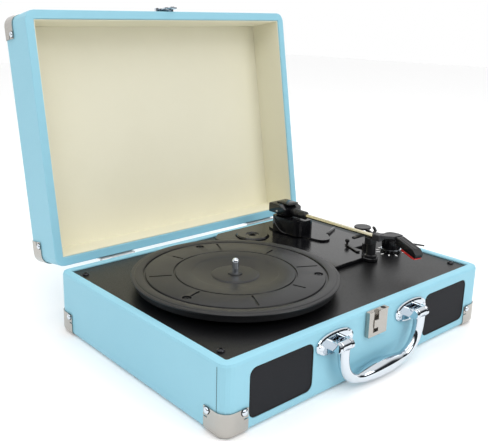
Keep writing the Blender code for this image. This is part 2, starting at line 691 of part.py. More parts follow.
def build_catch():
    back = FRONT_Y - GAP
    face = back - CATCH_T
    x = CATCH_W / 2
    low = CATCH_TOP - CATCH_H
    plate = piece("catch_plate", block((-x, face, low), (x, back, CATCH_TOP), 0.4 * MM), "nickel")
    lip = block((1 * MM, face - 0.9 * MM, CATCH_TOP - 1.8 * MM), (x, back, CATCH_TOP), 0.3 * MM)
    half = CHANNEL_W / 2
    channel_low = low + 4 * MM
    channel = block((CHANNEL_X - half, face - 2 * MM, channel_low), (CHANNEL_X + half, face + CHANNEL_D, CATCH_TOP + 2 * MM))
    fuse(plate, lip)
    cut(plate, channel)
    slider_h = 8 * MM
    top = channel_low + GAP + SLIDER_TRAVEL + slider_h
    slider = block((CHANNEL_X - half + GAP, face - 1.2 * MM, top - slider_h),
                   (CHANNEL_X + half - GAP, face + CHANNEL_D - GAP, top), 0.4 * MM)
    piece("catch_slider", slider, "nickel")


def hinge_leaf(name, look, up, parent, centre_x, knuckles, origin):
    """A leaf on the back wall with knuckles round the axis; up = 1 for the lid, -1 for the base."""
    axis = Vector((0, HINGE_Y, HINGE_Z)) - Vector(origin)
    wall_y = BACK_Y - origin[1]
    face = wall_y + GAP + HINGE_LEAF_T
    half = HINGE_W / 2
    z_near = axis.z + up * (KNUCKLE_R * 0.5)
    z_far = axis.z + up * HINGE_LEAF
    low, high = sorted((z_near, z_far))
    leaf = piece(name, block((centre_x - half, wall_y + GAP, low), (centre_x + half, face, high)), look, parent=parent,
                 place=(0, 0, 0))
    joined = []
    for start, end in knuckles:
        middle = centre_x + (start + end) / 2
        joined.append(cross_rod(KNUCKLE_R, end - start, (middle, axis.y, axis.z), 14))
        root = z_near + up * MM
        joined.append(block((centre_x + start, wall_y + GAP, min(axis.z, root)),
                            (centre_x + end, axis.y, max(axis.z, root))))
    return fuse(leaf, *joined)


def build_hinges(lid):
    third = HINGE_W / 6
    half = HINGE_W / 2
    origin = (0, HINGE_Y, HINGE_Z)
    for side, name in ((-1, "left"), (1, "right")):
        x = side * HINGE_X
        base = hinge_leaf(f"hinge_base_{name}", "steel", -1, None, x,
                          [(-half, -third - GAP), (third + GAP, half)], (0, 0, 0))
        cut(base, block((x - third - GAP, BACK_Y, HINGE_Z - KNUCKLE_R - 0.5 * MM),
                        (x + third + GAP, HINGE_Y + 4 * MM, HINGE_Z + 3 * MM)))
        fuse(base, cross_rod(PIN_R, HINGE_W - 2 * MM, (x, HINGE_Y, HINGE_Z), 10))
        moving = hinge_leaf(f"hinge_lid_{name}", "steel", 1, lid, x, [(-third, third)], origin)
        slot = half + MM
        for way in (-1, 1):
            low_x, high_x = sorted((x + way * third, x + way * slot))
            cut(moving, block((low_x, -KNUCKLE_R - 2 * MM, -KNUCKLE_R - GAP), (high_x, KNUCKLE_R + 2 * MM, KNUCKLE_R + 0.5 * MM)))
        cut(moving, cross_rod(PIN_R + GAP, HINGE_W, (x, 0, 0), 12))


# ---------------------------------------------------------------- lid

def build_lid(corner):
    """Lid pieces are placed closed, relative to the hinge axis, and the empty opens them."""
    lid = pivot("lid_pivot", (0, HINGE_Y, HINGE_Z), (-LID_OPEN, 0, 0))
    low = RIM_Z + PARTING
    top = low + LID_H

    def local(loops):
        return [[(x, y - HINGE_Y, z - HINGE_Z) for x, y, z in loop] for loop in loops]

    edge = 0.6 * MM
    ceiling = top - LID_PANEL_T
    outside = [case_loop(edge, low), case_loop(0, low + edge)] + edge_profile(0, top, 1)
    inside = [case_loop(WALL - edge, low), case_loop(WALL, low + edge), case_loop(WALL, ceiling)]
    shell = rings(local(inside[::-1] + outside))
    piece("lid_shell", shell, "leatherette", parent=lid)

    outer = WALL + GAP
    inner = outer + LINING_T
    liner_low = low + edge + 0.8 * MM
    liner_top = ceiling - GAP
    tray = [case_loop(outer, liner_top), case_loop(outer, liner_low), case_loop(inner, liner_low),
            case_loop(inner, liner_top - LINING_T)]
    piece("lid_lining", rings(local(tray)), "lining", parent=lid)

    flip = math.pi
    for number, (sx, sy, turn) in enumerate(((1, -1, 0), (1, 1, 90), (-1, 1, 180), (-1, -1, 270)), 1):
        place_corner(f"lid_corner_{number}", corner,
                     (sx * CASE_W / 2, sy * CASE_D / 2 - HINGE_Y, top - HINGE_Z),
                     (flip, 0, math.radians(turn)), lid)
    build_hasp(lid)
    build_hinges(lid)


def build_hasp(lid):
    """Hasp plate on the lid's front wall, and the tongue that hangs from it into the catch."""
    back = FRONT_Y - GAP - HINGE_Y
    face = back - 1.4 * MM
    axis_y = back - 3.6 * MM
    axis_z = HASP_Z - HINGE_Z
    x = CATCH_W / 2 - 1 * MM
    plate = piece("hasp_plate", block((-x, face, axis_z - 3 * MM), (x, back, axis_z + 18 * MM), 0.4 * MM), "chrome",
                  parent=lid)
    dome = [(px, axis_z + 10 * MM + pz) for px, pz in ellipse(20 * MM, 12 * MM, 20, 2)]
    small = [(px * 0.6, axis_z + 10 * MM + (pz - axis_z - 10 * MM) * 0.6) for px, pz in dome]
    raised = rings([[(px, face + 0.5 * MM, pz) for px, pz in dome], [(px, face - 1.4 * MM, pz) for px, pz in dome],
                    [(px, face - 2.8 * MM, pz) for px, pz in small]])
    ears = [block((sx * 10.4 * MM - 1.6 * MM, axis_y - 2 * MM, axis_z - 2 * MM),
                  (sx * 10.4 * MM + 1.6 * MM, back - 0.5 * MM, axis_z + 2 * MM), 0.4 * MM) for sx in (-1, 1)]
    fuse(plate, raised, *ears, cross_rod(1 * MM, 20 * MM, (0, axis_y, axis_z), 10))

    hasp_pivot = pivot("hasp_pivot", (0, axis_y, axis_z))
    hasp_pivot.parent = lid
    width = 8.2 * MM
    arm_low = -(HASP_Z - CATCH_TOP) + 1.2 * MM
    tongue = piece("hasp", block((-width, -0.8 * MM, arm_low), (width, 0.8 * MM, 0), 0.3 * MM), "chrome", parent=hasp_pivot)
    hook = block((CHANNEL_X - 2.5 * MM, -0.2 * MM, arm_low - 7.4 * MM), (CHANNEL_X + 2.5 * MM, 1.2 * MM, arm_low + 2 * MM), 0.3 * MM)
    fuse(tongue, cross_rod(2 * MM, 2 * width, (0, 0, 0), 14), hook)
    cut(tongue, cross_rod(1.3 * MM, 3 * width, (0, 0, 0), 12))


# ---------------------------------------------------------------- arm

def build_arm():
    foot_low = PLATE_Z + GAP
    foot_top = foot_low + 1.8 * MM
    pear = [(ARM_X + 7 * MM, ARM_Y + 5 * MM, 20 * MM), (ARM_X + 15 * MM, ARM_Y - 32 * MM, 16.5 * MM),
            (ARM_X + 7 * MM, ARM_Y - 53 * MM, 9.5 * MM)]
    foot = piece("arm_base", prism(hull_of_circles(pear, 40), foot_low, foot_top), "black_plastic")
    house_top = TILT_Z - 6 * MM
    house = rounded(28.5 * MM, 45 * MM, 7 * MM, 3)
    outline = [(ARM_X - 0.2 * MM + x, ARM_Y - 12.5 * MM + y) for x, y in house]
    fuse(foot, prism(outline, foot_top - 0.5 * MM, house_top))
    stem = 4 * MM
    cut(foot, turned([(stem + GAP, foot_low + 4 * MM), (stem + GAP, house_top + 2 * MM)], 20, centre=(ARM_X, ARM_Y)))

    yoke_low = house_top + GAP
    yoke = piece("arm_yoke", turned([(stem, foot_low + 5 * MM - house_top), (stem, 1 * MM)], 20), "black_plastic",
                 place=(ARM_X, ARM_Y, house_top))
    disc = turned([(9.4 * MM, GAP), (10 * MM, GAP + 0.5 * MM), (10 * MM, 2 * MM)], 24)
    cheeks = [block((sx * 8.6 * MM - 1.4 * MM, -4.4 * MM, 1.2 * MM),
                    (sx * 8.6 * MM + 1.4 * MM, 4.4 * MM, 7.8 * MM), 0.4 * MM) for sx in (-1, 1)]
    axle = cross_rod(1.2 * MM, 18 * MM, (0, 0, TILT_Z - house_top), 12)
    fuse(yoke, disc, *cheeks, axle)

    tilt = pivot("arm_tilt_pivot", (ARM_X, ARM_Y, TILT_Z))
    build_arm_block(tilt)
    build_head(tilt)
    build_rest()


def build_arm_block(tilt):
    """Cover over the yoke, open below, with the weight behind and the tube's neck in front."""
    half = 14 * MM
    rear = 14 * MM
    front = -13 * MM
    top = 8.4 * MM
    low = -2.6 * MM
    cover = piece("arm_block", block((-half, front, low), (half, rear, top), 0.8 * MM), "black_plastic", parent=tilt)
    clear = 10.4 * MM
    cut(cover, block((-clear, -7 * MM, low - 3 * MM), (clear, 7 * MM, 4.4 * MM)),
        cross_rod(1.2 * MM + GAP, 24 * MM, (0, 0, 0), 12))
    neck_r = 5 * MM
    neck = front_rod(neck_r, 21 * MM, (0, front + 1 * MM, 0), 16, 1 * MM)
    fuse(cover, neck)
    cut(cover, front_rod(TUBE_R + GAP, 30 * MM, (0, front - 11 * MM, 0), 16))
    fuse(cover, block((-6.5 * MM, -11.5 * MM, top - 1 * MM), (10 * MM, 8 * MM, top + 1.6 * MM), 0.5 * MM))
    start = front - 11.5 * MM
    end = TUBE_END_Y - ARM_Y
    piece("arm_tube", front_rod(TUBE_R, start - end, (0, start, 0), 16), "brass", parent=tilt)


def build_head(tilt):
    """Headshell on the tube's end, cartridge turned inwards below it, stylus under its nose."""
    end = TUBE_END_Y - ARM_Y
    hold = 7 * MM
    shell = piece("headshell", block((-4.5 * MM, end - 3 * MM, -3.2 * MM), (4.5 * MM, end + hold, 3.8 * MM), 0.8 * MM),
                  "black_plastic", parent=tilt)
    wing = [(-4.3 * MM, end - 1 * MM), (4.3 * MM, end + 3 * MM), (19.5 * MM, end - 9 * MM), (18 * MM, end - 16 * MM),
            (6 * MM, end - 14 * MM)]
    fuse(shell, prism(wing, 0.6 * MM, 3.4 * MM))
    cut(shell, front_rod(TUBE_R + GAP, hold + 8 * MM, (0, end + hold + 8 * MM - GAP, 0), 16))

    head = pivot("head_frame", (12 * MM, end - 16.6 * MM, 3.4 * MM), (math.radians(12), 0, -HEAD_TURN))
    head.parent = tilt
    side_view = [(0, 0), (-26 * MM, 0), (-32 * MM, -3.4 * MM), (-32 * MM, -5.2 * MM), (-16 * MM, -8.4 * MM),
                 (0, -8.4 * MM)]
    width = 5.2 * MM
    loops = [[(x, y, z) for y, z in side_view] for x in (-width, width)]
    body = rings(loops)
    bmesh.ops.bevel(body, geom=body.edges[:], offset=0.5 * MM, segments=1, affect="EDGES")
    cartridge = piece("cartridge", body, "black_plastic", parent=head)
    lift = moved(rod(0.9 * MM, 17 * MM, 10), (4 * MM, -16 * MM, -2.4 * MM), math.radians(80), "Y")
    fuse(cartridge, lift)
    low_view = [(-10 * MM, -8.9 * MM), (-15.9 * MM, -8.75 * MM), (-32.2 * MM, -5.6 * MM),
                (-32.4 * MM, -8.6 * MM), (-27 * MM, -11.4 * MM), (-12 * MM, -11 * MM)]
    half = 4.6 * MM
    piece("stylus", rings([[(x, y, z) for y, z in low_view] for x in (-half, half)]), "red", parent=head)


def build_rest():
    """Rest post with an open shelf, its clip, and the cue lift beside it."""
    low = PLATE_Z + GAP
    shelf = TUBE_Z - TUBE_R - GAP
    post = piece("rest_post", turned([(6.6 * MM, low), (6.6 * MM, low + 2 * MM), (5 * MM, low + 3 * MM),
                                      (4.8 * MM, shelf - 6 * MM)], 20, centre=(REST_X, REST_Y)), "black_plastic")
    post_left = ARM_X - 4 * MM
    wall_x = ARM_X + TUBE_R + 0.4 * MM
    head_y = (REST_Y - 4 * MM, REST_Y + 4 * MM)
    fuse(post, block((post_left, head_y[0], shelf - 7 * MM), (wall_x + 4 * MM, head_y[1], shelf), 0.4 * MM),
         block((wall_x, head_y[0], shelf - 3 * MM), (wall_x + 2.2 * MM, head_y[0] + 2 * MM, TUBE_Z + 1 * MM)),
         block((wall_x, head_y[1] - 2 * MM, shelf - 3 * MM), (wall_x + 2.2 * MM, head_y[1], TUBE_Z + 1 * MM)))

    clip_axis = (wall_x + 1.4 * MM, REST_Y, TUBE_Z - 0.4 * MM)
    barrel = moved(cross_rod(1.2 * MM, 3.2 * MM, (0, 0, 0), 12), (0, 0, 0), math.pi / 2, "Z")
    bore = moved(cross_rod(0.8 * MM, 6 * MM, (0, 0, 0), 12), (0, 0, 0), math.pi / 2, "Z")
    pin = moved(cross_rod(0.5 * MM, 6 * MM, (0, 0, 0), 10), clip_axis, math.pi / 2, "Z")
    fuse(post, pin)
    hook = [(0.8 * MM, 0.6 * MM), (0.8 * MM, 6.6 * MM), (-6 * MM, 6.6 * MM), (-6 * MM, 5 * MM), (-0.8 * MM, 5 * MM),
            (-0.8 * MM, 0.6 * MM)]
    clip = piece("rest_clip", front_prism(hook, 1.4 * MM, -1.4 * MM), "black_plastic", place=clip_axis,
                 turn=(0, math.radians(CLIP_OPEN), 0))
    fuse(clip, barrel)
    cut(clip, bore)

    bar_y = REST_Y + 13 * MM
    bar_top = shelf - 0.5 * MM
    stem_x = REST_X + 8 * MM
    platform = piece("cue_platform", block((ARM_X - 12 * MM, bar_y - 2 * MM, bar_top - 2.4 * MM),
                                           (stem_x + 2 * MM, bar_y + 2 * MM, bar_top), 0.5 * MM), "black_plastic")
    fuse(platform, turned([(1.6 * MM, PLATE_Z + 6 * MM), (1.6 * MM, bar_top - 1 * MM)], 12, centre=(stem_x, bar_y)))
    toe = hull_of_circles([(REST_X, REST_Y, 6.4 * MM), (stem_x, bar_y, 4 * MM)], 24)
    fuse(post, prism(toe, low, low + 2 * MM),
         turned([(4 * MM, low), (4 * MM, low + 10 * MM)], 16, centre=(stem_x, bar_y)))
    cut(post, turned([(1.9 * MM, low - 1 * MM), (1.9 * MM, low + 11 * MM)], 12, centre=(stem_x, bar_y)))

    lever_axis = (wall_x + 6.2 * MM, REST_Y, TUBE_Z - 3 * MM)
    lever = piece("cue_lever", block((-1.2 * MM, -2.4 * MM, -2.4 * MM), (1.2 * MM, 5 * MM, 2.4 * MM), 0.5 * MM),
                  "black_plastic", place=lever_axis)
    disc = moved(rod(9.2 * MM, 2.2 * MM, 24, 0.6 * MM), (3.4 * MM, 20 * MM, 3.4 * MM))
    stalk = [(2 * MM, -1 * MM), (15 * MM, 3.9 * MM), (15 * MM, 5.1 * MM), (10 * MM, 5.1 * MM), (2 * MM, 2 * MM)]
    fuse(lever, rings([[(-1 * MM, y, z) for y, z in stalk], [(1 * MM, y, z) for y, z in stalk]]), disc)
    fuse(post, cross_rod(1.2 * MM, 5 * MM, (wall_x + 4.4 * MM, REST_Y, TUBE_Z - 3 * MM), 12))
    cut(lever, cross_rod(1.2 * MM + GAP, 2.2 * MM, (-0.4 * MM, 0, 0), 12))

    build_speed_lever()


def build_speed_lever():
    low = PLATE_Z + GAP
    lever = piece("speed_lever", block((-2 * MM, -2.5 * MM, low), (2 * MM, 25 * MM, low + 1.4 * MM), 0.3 * MM), "black_plastic",
                  place=(SPEED_X, SPEED_Y, 0), turn=(0, 0, math.radians(-22)))
    ball = [(1.2 * MM, low + 1 * MM), (1.2 * MM, low + 3 * MM), (2.2 * MM, low + 4 * MM), (2.7 * MM, low + 5.4 * MM),
            (2.2 * MM, low + 6.8 * MM), (1 * MM, low + 7.6 * MM)]
    fuse(lever, turned(ball, 12, centre=(0, 23 * MM)), turned([(2.2 * MM, PLATE_Z - 1.6 * MM), (2.2 * MM, low + 1 * MM)], 12))


def main():
    for old in list(bpy.data.objects):
        bpy.data.objects.remove(old)
    corner = corner_mesh()
    build_base()
    build_base_corners(corner)
    build_deck()
    build_mechanism()
    build_electrics()
    build_handle()
    build_catch()
    build_lid(corner)
    build_arm()


main()
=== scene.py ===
"""Looks of the suitcase record player: finishes, finer pieces, studio light and camera.

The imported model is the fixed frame. Every class below dresses or models one sub-assembly of it.
"""

import logging
import math
from dataclasses import dataclass, field
from enum import Enum
from typing import Sequence

import bpy
from mathutils import Matrix, Vector

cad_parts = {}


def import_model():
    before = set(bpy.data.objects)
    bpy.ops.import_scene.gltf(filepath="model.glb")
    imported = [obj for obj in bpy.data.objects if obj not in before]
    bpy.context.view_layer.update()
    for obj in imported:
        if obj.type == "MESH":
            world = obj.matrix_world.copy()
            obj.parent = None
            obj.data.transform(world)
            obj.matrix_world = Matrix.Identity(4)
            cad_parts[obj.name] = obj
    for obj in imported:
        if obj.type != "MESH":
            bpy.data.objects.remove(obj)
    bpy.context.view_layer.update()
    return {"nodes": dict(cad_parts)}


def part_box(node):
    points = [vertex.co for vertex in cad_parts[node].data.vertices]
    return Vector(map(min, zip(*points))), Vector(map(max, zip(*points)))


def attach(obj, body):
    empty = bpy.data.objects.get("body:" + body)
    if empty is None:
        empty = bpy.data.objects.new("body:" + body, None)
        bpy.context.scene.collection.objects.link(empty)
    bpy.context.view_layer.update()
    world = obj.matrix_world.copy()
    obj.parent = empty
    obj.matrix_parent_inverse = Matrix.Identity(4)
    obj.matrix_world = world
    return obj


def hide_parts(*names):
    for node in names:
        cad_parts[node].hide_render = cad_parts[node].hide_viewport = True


logging.basicConfig(level=logging.INFO, format="%(name)s: %(message)s")
log = logging.getLogger("record_player")

MM = 0.001
Colour = tuple[float, float, float]
Point = tuple[float, float, float]

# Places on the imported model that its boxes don't give.
CASE_HALF = (177.5 * MM, 129 * MM)
LID_TOP = 114.1 * MM
HINGE_AXIS = (0.0, 131.6 * MM, 60.4 * MM)
LID_OPENING = math.radians(99.2)
BAIL_AXIS = (0.0, -140 * MM, 46 * MM)
LUG_OUT = 54.5
LUG_SCREW_OUT = 19 * MM
LUG_FACE = -131.2 * MM
ARM_TILT_AXIS = (97 * MM, 80 * MM, 90 * MM)
WELL_ANGLES = (76.5, -43.5, -163.5)
WELL_OUT = 80 * MM

# The view.
EYE = (-479.6 * MM, -473.1 * MM, 312.1 * MM)
YAW = math.radians(39.81)
PITCH = math.radians(15.14)
ROLL = math.radians(0.63)
LENS = 50.76
SHIFT = (0.0674, -0.0362)


class Body(Enum):
    """Bodies that the finer pieces ride on."""

    BASE = "base"
    LID = "lid"
    BAIL = "bail"
    PLATTER = "platter"
    ARM = "arm"
    KNOB = "volume_knob"


# ------------------------------------------------------------------ shading

class Value:
    """A number or colour socket with arithmetic, which adds a maths node for each operation."""

    def __init__(self, graph: "Graph", socket: bpy.types.NodeSocket) -> None:
        """Wrap a socket of a graph."""
        self.graph = graph
        self.socket = socket

    def _math(self, operation: str, first: "Value | float", second: "Value | float") -> "Value":
        """Add a maths node over two operands."""
        return self.graph.node("ShaderNodeMath", {0: first, 1: second}, operation=operation)

    def __add__(self, other: "Value | float") -> "Value":
        """Sum."""
        return self._math("ADD", self, other)

    def __radd__(self, other: "Value | float") -> "Value":
        """Sum, from the right."""
        return self._math("ADD", other, self)

    def __sub__(self, other: "Value | float") -> "Value":
        """Difference."""
        return self._math("SUBTRACT", self, other)

    def __rsub__(self, other: "Value | float") -> "Value":
        """Difference, from the right."""
        return self._math("SUBTRACT", other, self)

    def __mul__(self, other: "Value | float") -> "Value":
        """Product."""
        return self._math("MULTIPLY", self, other)

    def __rmul__(self, other: "Value | float") -> "Value":
        """Product, from the right."""
        return self._math("MULTIPLY", other, self)

    def __truediv__(self, other: "Value | float") -> "Value":
        """Quotient."""
        return self._math("DIVIDE", self, other)

    def __pow__(self, other: "Value | float") -> "Value":
        """Power."""
        return self._math("POWER", self, other)

    def __gt__(self, other: "Value | float") -> "Value":
        """One where this is greater, else zero."""
        return self._math("GREATER_THAN", self, other)

    def __lt__(self, other: "Value | float") -> "Value":
        """One where this is less, else zero."""
        return self._math("LESS_THAN", self, other)

    def wave(self) -> "Value":
        """Sine."""
        return self._math("SINE", self, 0.0)

    def size(self) -> "Value":
        """Absolute value."""
        return self._math("ABSOLUTE", self, 0.0)

    def fraction(self) -> "Value":
        """Part after the decimal point."""
        return self._math("FRACT", self, 0.0)


class Graph:
    """Node tree of a material, or of the world, around one shader."""

    def __init__(self, owner: bpy.types.Material | bpy.types.World,
                 shader: str = "Principled BSDF") -> None:
        """Turn nodes on and find the shader.

        Args:
            owner: a new material or world.
            shader: the name of the node to feed.
        """
        self.owner = owner
        self.owner.use_nodes = True
        self.tree = self.owner.node_tree
        self.shader = self.tree.nodes[shader]

    def node(self, kind: str, inputs: dict[int | str, object], output: int = 0,
             **settings: object) -> Value:
        """Add a node.

        Args:
            kind: the node's type name.
            inputs: values or Values by input index or name.
            output: which output to return.
            settings: the node's own properties.

        Returns:
            The chosen output.
        """
        made = self.tree.nodes.new(kind)
        for key, value in settings.items():
            setattr(made, key, value)
        for key, value in inputs.items():
            if isinstance(value, Value):
                self.tree.links.new(value.socket, made.inputs[key])
            else:
                made.inputs[key].default_value = value
        return Value(self, made.outputs[output])

    def place(self) -> Value:
        """Object coordinates."""
        return self.node("ShaderNodeTexCoord", {}, output=3)

    def axes(self) -> tuple[Value, Value, Value]:
        """The three object coordinates as numbers."""
        split = self.tree.nodes.new("ShaderNodeSeparateXYZ")
        self.tree.links.new(self.place().socket, split.inputs[0])
        return tuple(Value(self, socket) for socket in split.outputs)

    def noise(self, scale: float, detail: float = 3.0, roughness: float = 0.5) -> Value:
        """Fractal noise from 0 to 1."""
        inputs = {"Vector": self.place(), "Scale": scale, "Detail": detail, "Roughness": roughness}
        return self.node("ShaderNodeTexNoise", inputs)

    def cells(self, scale: float, feature: str = "F1") -> Value:
        """Distance field of scattered cells."""
        inputs = {"Vector": self.place(), "Scale": scale}
        return self.node("ShaderNodeTexVoronoi", inputs, feature=feature)

    def blend(self, factor: Value | float, first: Colour, second: Colour) -> Value:
        """Mix two colours."""
        inputs = {0: factor, 6: (*first, 1.0), 7: (*second, 1.0)}
        return self.node("ShaderNodeMix", inputs, output=2, data_type="RGBA")

    def step(self, value: Value, start: float, end: float, first: float, second: float) -> Value:
        """A smooth step.

        Args:
            value: what the step follows.
            start: the value at which it begins.
            end: the value at which it is over.
            first: the result before it.
            second: the result after it.

        Returns:
            The result.
        """
        inputs = {"Value": value, "From Min": start, "From Max": end, "To Min": first,
                  "To Max": second}
        return self.node("ShaderNodeMapRange", inputs, interpolation_type="SMOOTHSTEP")

    def feed(self, name: str, value: Value | float | Colour) -> None:
        """Set or link one input of the shader.

        Args:
            name: the input's name.
            value: a number, a colour or a Value.
        """
        if isinstance(value, Value):
            self.tree.links.new(value.socket, self.shader.inputs[name])
        elif isinstance(value, tuple):
            self.shader.inputs[name].default_value = (*value, 1.0)
        else:
            self.shader.inputs[name].default_value = value

    def bump(self, height: Value, distance: float, strength: float = 1.0) -> None:
        """Drive the shader's normal from a height."""
        inputs = {"Height": height, "Distance": distance, "Strength": strength}
        self.feed("Normal", self.node("ShaderNodeBump", inputs))


@dataclass(frozen=True)
class Leatherette:
    """Pebble-grained covering."""

    name: str
    colour: Colour
    shade: Colour
    roughness: float = 0.5
    grain: float = 1500.0
    depth: float = 0.00012
    gloss: float = 0.5

    def build(self) -> bpy.types.Material:
        """Make the material.

        Returns:
            The new material.
        """
        graph = Graph(bpy.data.materials.new(self.name))
        cells = graph.cells(self.grain)
        fine = graph.noise(self.grain * 2.5, 2.0)
        broad = graph.noise(14.0, 3.0)
        graph.feed("Base Color", graph.blend((broad - 0.35) * 1.2, self.colour, self.shade))
        graph.feed("Roughness", self.roughness + (cells - 0.5) * 0.2 + (broad - 0.5) * 0.1)
        graph.feed("Specular IOR Level", self.gloss)
        graph.bump(cells * 0.8 + fine * 0.35, self.depth, 0.55)
        return graph.owner


@dataclass(frozen=True)
class Lining:
    """Cream printed lining, matte, with a soft weave."""

    name: str
    colour: Colour
    shade: Colour

    def build(self) -> bpy.types.Material:
        """Make the material.

        Returns:
            The new material.
        """
        graph = Graph(bpy.data.materials.new(self.name))
        x, y, z = graph.axes()
        weave = (x * 5200.0).wave() * (z * 5200.0).wave()
        mottle = graph.noise(9.0, 4.0, 0.6)
        fibre = graph.noise(900.0, 2.0)
        shade = (mottle - 0.4) * 1.6 + (fibre - 0.5) * 0.4
        graph.feed("Base Color", graph.blend(shade, self.colour, self.shade))
        graph.feed("Roughness", 0.82 + (fibre - 0.5) * 0.2)
        graph.bump(weave * 0.3 + fibre * 0.6, 0.00008, 0.4)
        return graph.owner


@dataclass(frozen=True)
class Plastic:
    """Moulded plastic with faint flow marks and fine dust."""

    name: str
    colour: Colour
    roughness: float = 0.3
    coat: float = 0.0
    texture: float = 0.000015

    def build(self) -> bpy.types.Material:
        """Make the material.

        Returns:
            The new material.
        """
        graph = Graph(bpy.data.materials.new(self.name))
        cloud = graph.noise(40.0, 3.0)
        speck = graph.noise(2600.0, 2.0, 0.7)
        lighter = tuple(min(1.0, c * 1.6 + 0.006) for c in self.colour)
        haze = (cloud - 0.45) * 0.8 + (speck - 0.5) * 0.3
        graph.feed("Base Color", graph.blend(haze, self.colour, lighter))
        graph.feed("Roughness", self.roughness + (cloud - 0.5) * 0.14 + (speck - 0.5) * 0.08)
        graph.feed("Coat Weight", self.coat)
        graph.bump(speck, self.texture, 0.5)
        return graph.owner


@dataclass(frozen=True)
class Metal:
    """Plated or bare metal with handling marks."""

    name: str
    colour: Colour
    roughness: float = 0.1
    brushed: float = 0.0

    def build(self) -> bpy.types.Material:
        """Make the material.

        Returns:
            The new material.
        """
        graph = Graph(bpy.data.materials.new(self.name))
        x, y, z = graph.axes()
        smear = graph.noise(55.0, 4.0, 0.6)
        fine = graph.noise(1800.0, 2.0)
        streak = (z * 9000.0 + fine * 6.0).wave() * self.brushed
        darker = tuple(c * 0.82 for c in self.colour)
        graph.feed("Base Color", graph.blend((smear - 0.45) * 0.9, self.colour, darker))
        graph.feed("Metallic", 1.0)
        graph.feed("Roughness", self.roughness + (smear - 0.5) * 0.12 + streak * 0.05)
        graph.bump(fine * 0.4 + streak, 0.00001, 0.4)
        return graph.owner


@dataclass(frozen=True)
class Grille:
    """Perforated speaker mesh: a staggered grid of holes, painted darker as painted shade seen
    through them.
    """

    name: str
    colour: Colour
    pitch: float = 1.5 * MM

    def build(self) -> bpy.types.Material:
        """Make the material.

        Returns:
            The new material.
        """
        graph = Graph(bpy.data.materials.new(self.name))
        x, y, z = graph.axes()
        turn = 2 * math.pi / self.pitch
        grid = (x * turn).wave() * (z * turn).wave()
        hole = grid.size() > 0.42
        dust = graph.noise(700.0, 3.0, 0.7)
        # The holes are painted darker, as painted shade seen through the mesh; dust varies the
        # tone as well.
        edge = tuple(c * 0.25 for c in self.colour)
        graph.feed("Base Color", graph.blend(hole * 0.7 + (dust - 0.5) * 0.3, self.colour, edge))
        graph.feed("Roughness", 0.7 + (dust - 0.5) * 0.3)
        graph.feed("Specular IOR Level", 0.3)
        graph.bump(1.0 - hole, 0.0003, 0.8)
        return graph.owner


@dataclass(frozen=True)
class RecordMat:
    """Platter plastic with fine turned rings round the centre."""

    name: str
    colour: Colour
    centre: tuple[float, float]

    def build(self) -> bpy.types.Material:
        """Make the material.

        Returns:
            The new material.
        """
        graph = Graph(bpy.data.materials.new(self.name))
        x, y, z = graph.axes()
        dx = x - self.centre[0]
        dy = y - self.centre[1]
        radius = (dx * dx + dy * dy) ** 0.5
        rings = (radius * 9500.0).wave()
        cloud = graph.noise(28.0, 3.0)
        dust = graph.noise(1500.0, 3.0, 0.75)
        lighter = tuple(c * 2.2 + 0.004 for c in self.colour)
        haze = (cloud - 0.45) * 0.8 + (dust > 0.72) * 0.5
        graph.feed("Base Color", graph.blend(haze, self.colour, lighter))
        graph.feed("Roughness", 0.4 + (cloud - 0.5) * 0.12 + rings * 0.03)
        graph.bump(rings * 0.5 + dust * 0.3, 0.000012, 0.5)
        return graph.owner


TURQUOISE = Leatherette("turquoise_leatherette", (0.295, 0.60, 0.725), (0.27, 0.565, 0.695))
SEAM = Leatherette("seam_edge", (0.05, 0.12, 0.15), (0.07, 0.16, 0.19))
CREAM = Lining("cream_lining", (0.82, 0.79, 0.63), (0.77, 0.74, 0.58))
DECK_BLACK = Leatherette("black_deck", (0.002, 0.002, 0.0025), (0.004, 0.004, 0.005), 0.36,
                         1100.0, 0.00005, 0.42)
UNDER_BLACK = Leatherette("black_underside", (0.03, 0.03, 0.03), (0.045, 0.045, 0.045), 0.7,
                          900.0)
GLOSS_BLACK = Plastic("gloss_black", (0.004, 0.004, 0.005), 0.18)
SATIN_BLACK = Plastic("satin_black", (0.007, 0.007, 0.008), 0.34, texture=0.00003)
# Near-black and matte: painted shade, for the catch's slot and hole, the rings round the rivet
# feet and the grille rims.
SHADE_BLACK = Plastic("painted_shade_black", (0.002, 0.002, 0.002), 0.8)
GREY_BLACK = Plastic("dark_grey", (0.025, 0.025, 0.028), 0.4)
RED = Plastic("red_stylus_plastic", (0.62, 0.02, 0.02), 0.3)
WHITE_PAINT = Plastic("white_print", (0.85, 0.85, 0.85), 0.6)
CHROME = Metal("bright_chrome", (0.66, 0.71, 0.76), 0.045)
NICKEL = Metal("satin_nickel", (0.46, 0.44, 0.41), 0.2, 0.6)
STEEL = Metal("plain_steel", (0.50, 0.50, 0.51), 0.35, 1.0)
DARK_STEEL = Metal("black_screws", (0.05, 0.05, 0.055), 0.28)
PALE_BRASS = Metal("champagne_tube", (0.78, 0.72, 0.55), 0.2)
RUBBER = Plastic("rubber", (0.02, 0.02, 0.02), 0.75, texture=0.00006)
BOARD_GREEN = Plastic("circuit_lacquer", (0.03, 0.20, 0.09), 0.35)
GRILLE = Grille("speaker_mesh", (0.012, 0.013, 0.018))

_materials: dict[str, bpy.types.Material] = {}

Finish = Leatherette | Lining | Plastic | Metal | Grille | RecordMat


def paint(obj: bpy.types.Object, finish: Finish) -> bpy.types.Object:
    """Give an object one finish, built on first use.

    Args:
        obj: a mesh object.
        finish: the finish to show.

    Returns:
        The same object.
    """
    if finish.name not in _materials:
        _materials[finish.name] = finish.build()
    obj.data.materials.clear()
    obj.data.materials.append(_materials[finish.name])
    return obj


# ------------------------------------------------------------------ modelling

def mm(*sizes: float) -> tuple[float, ...]:
    """Sizes given in millimetres, in metres."""
    return tuple(size * MM for size in sizes)


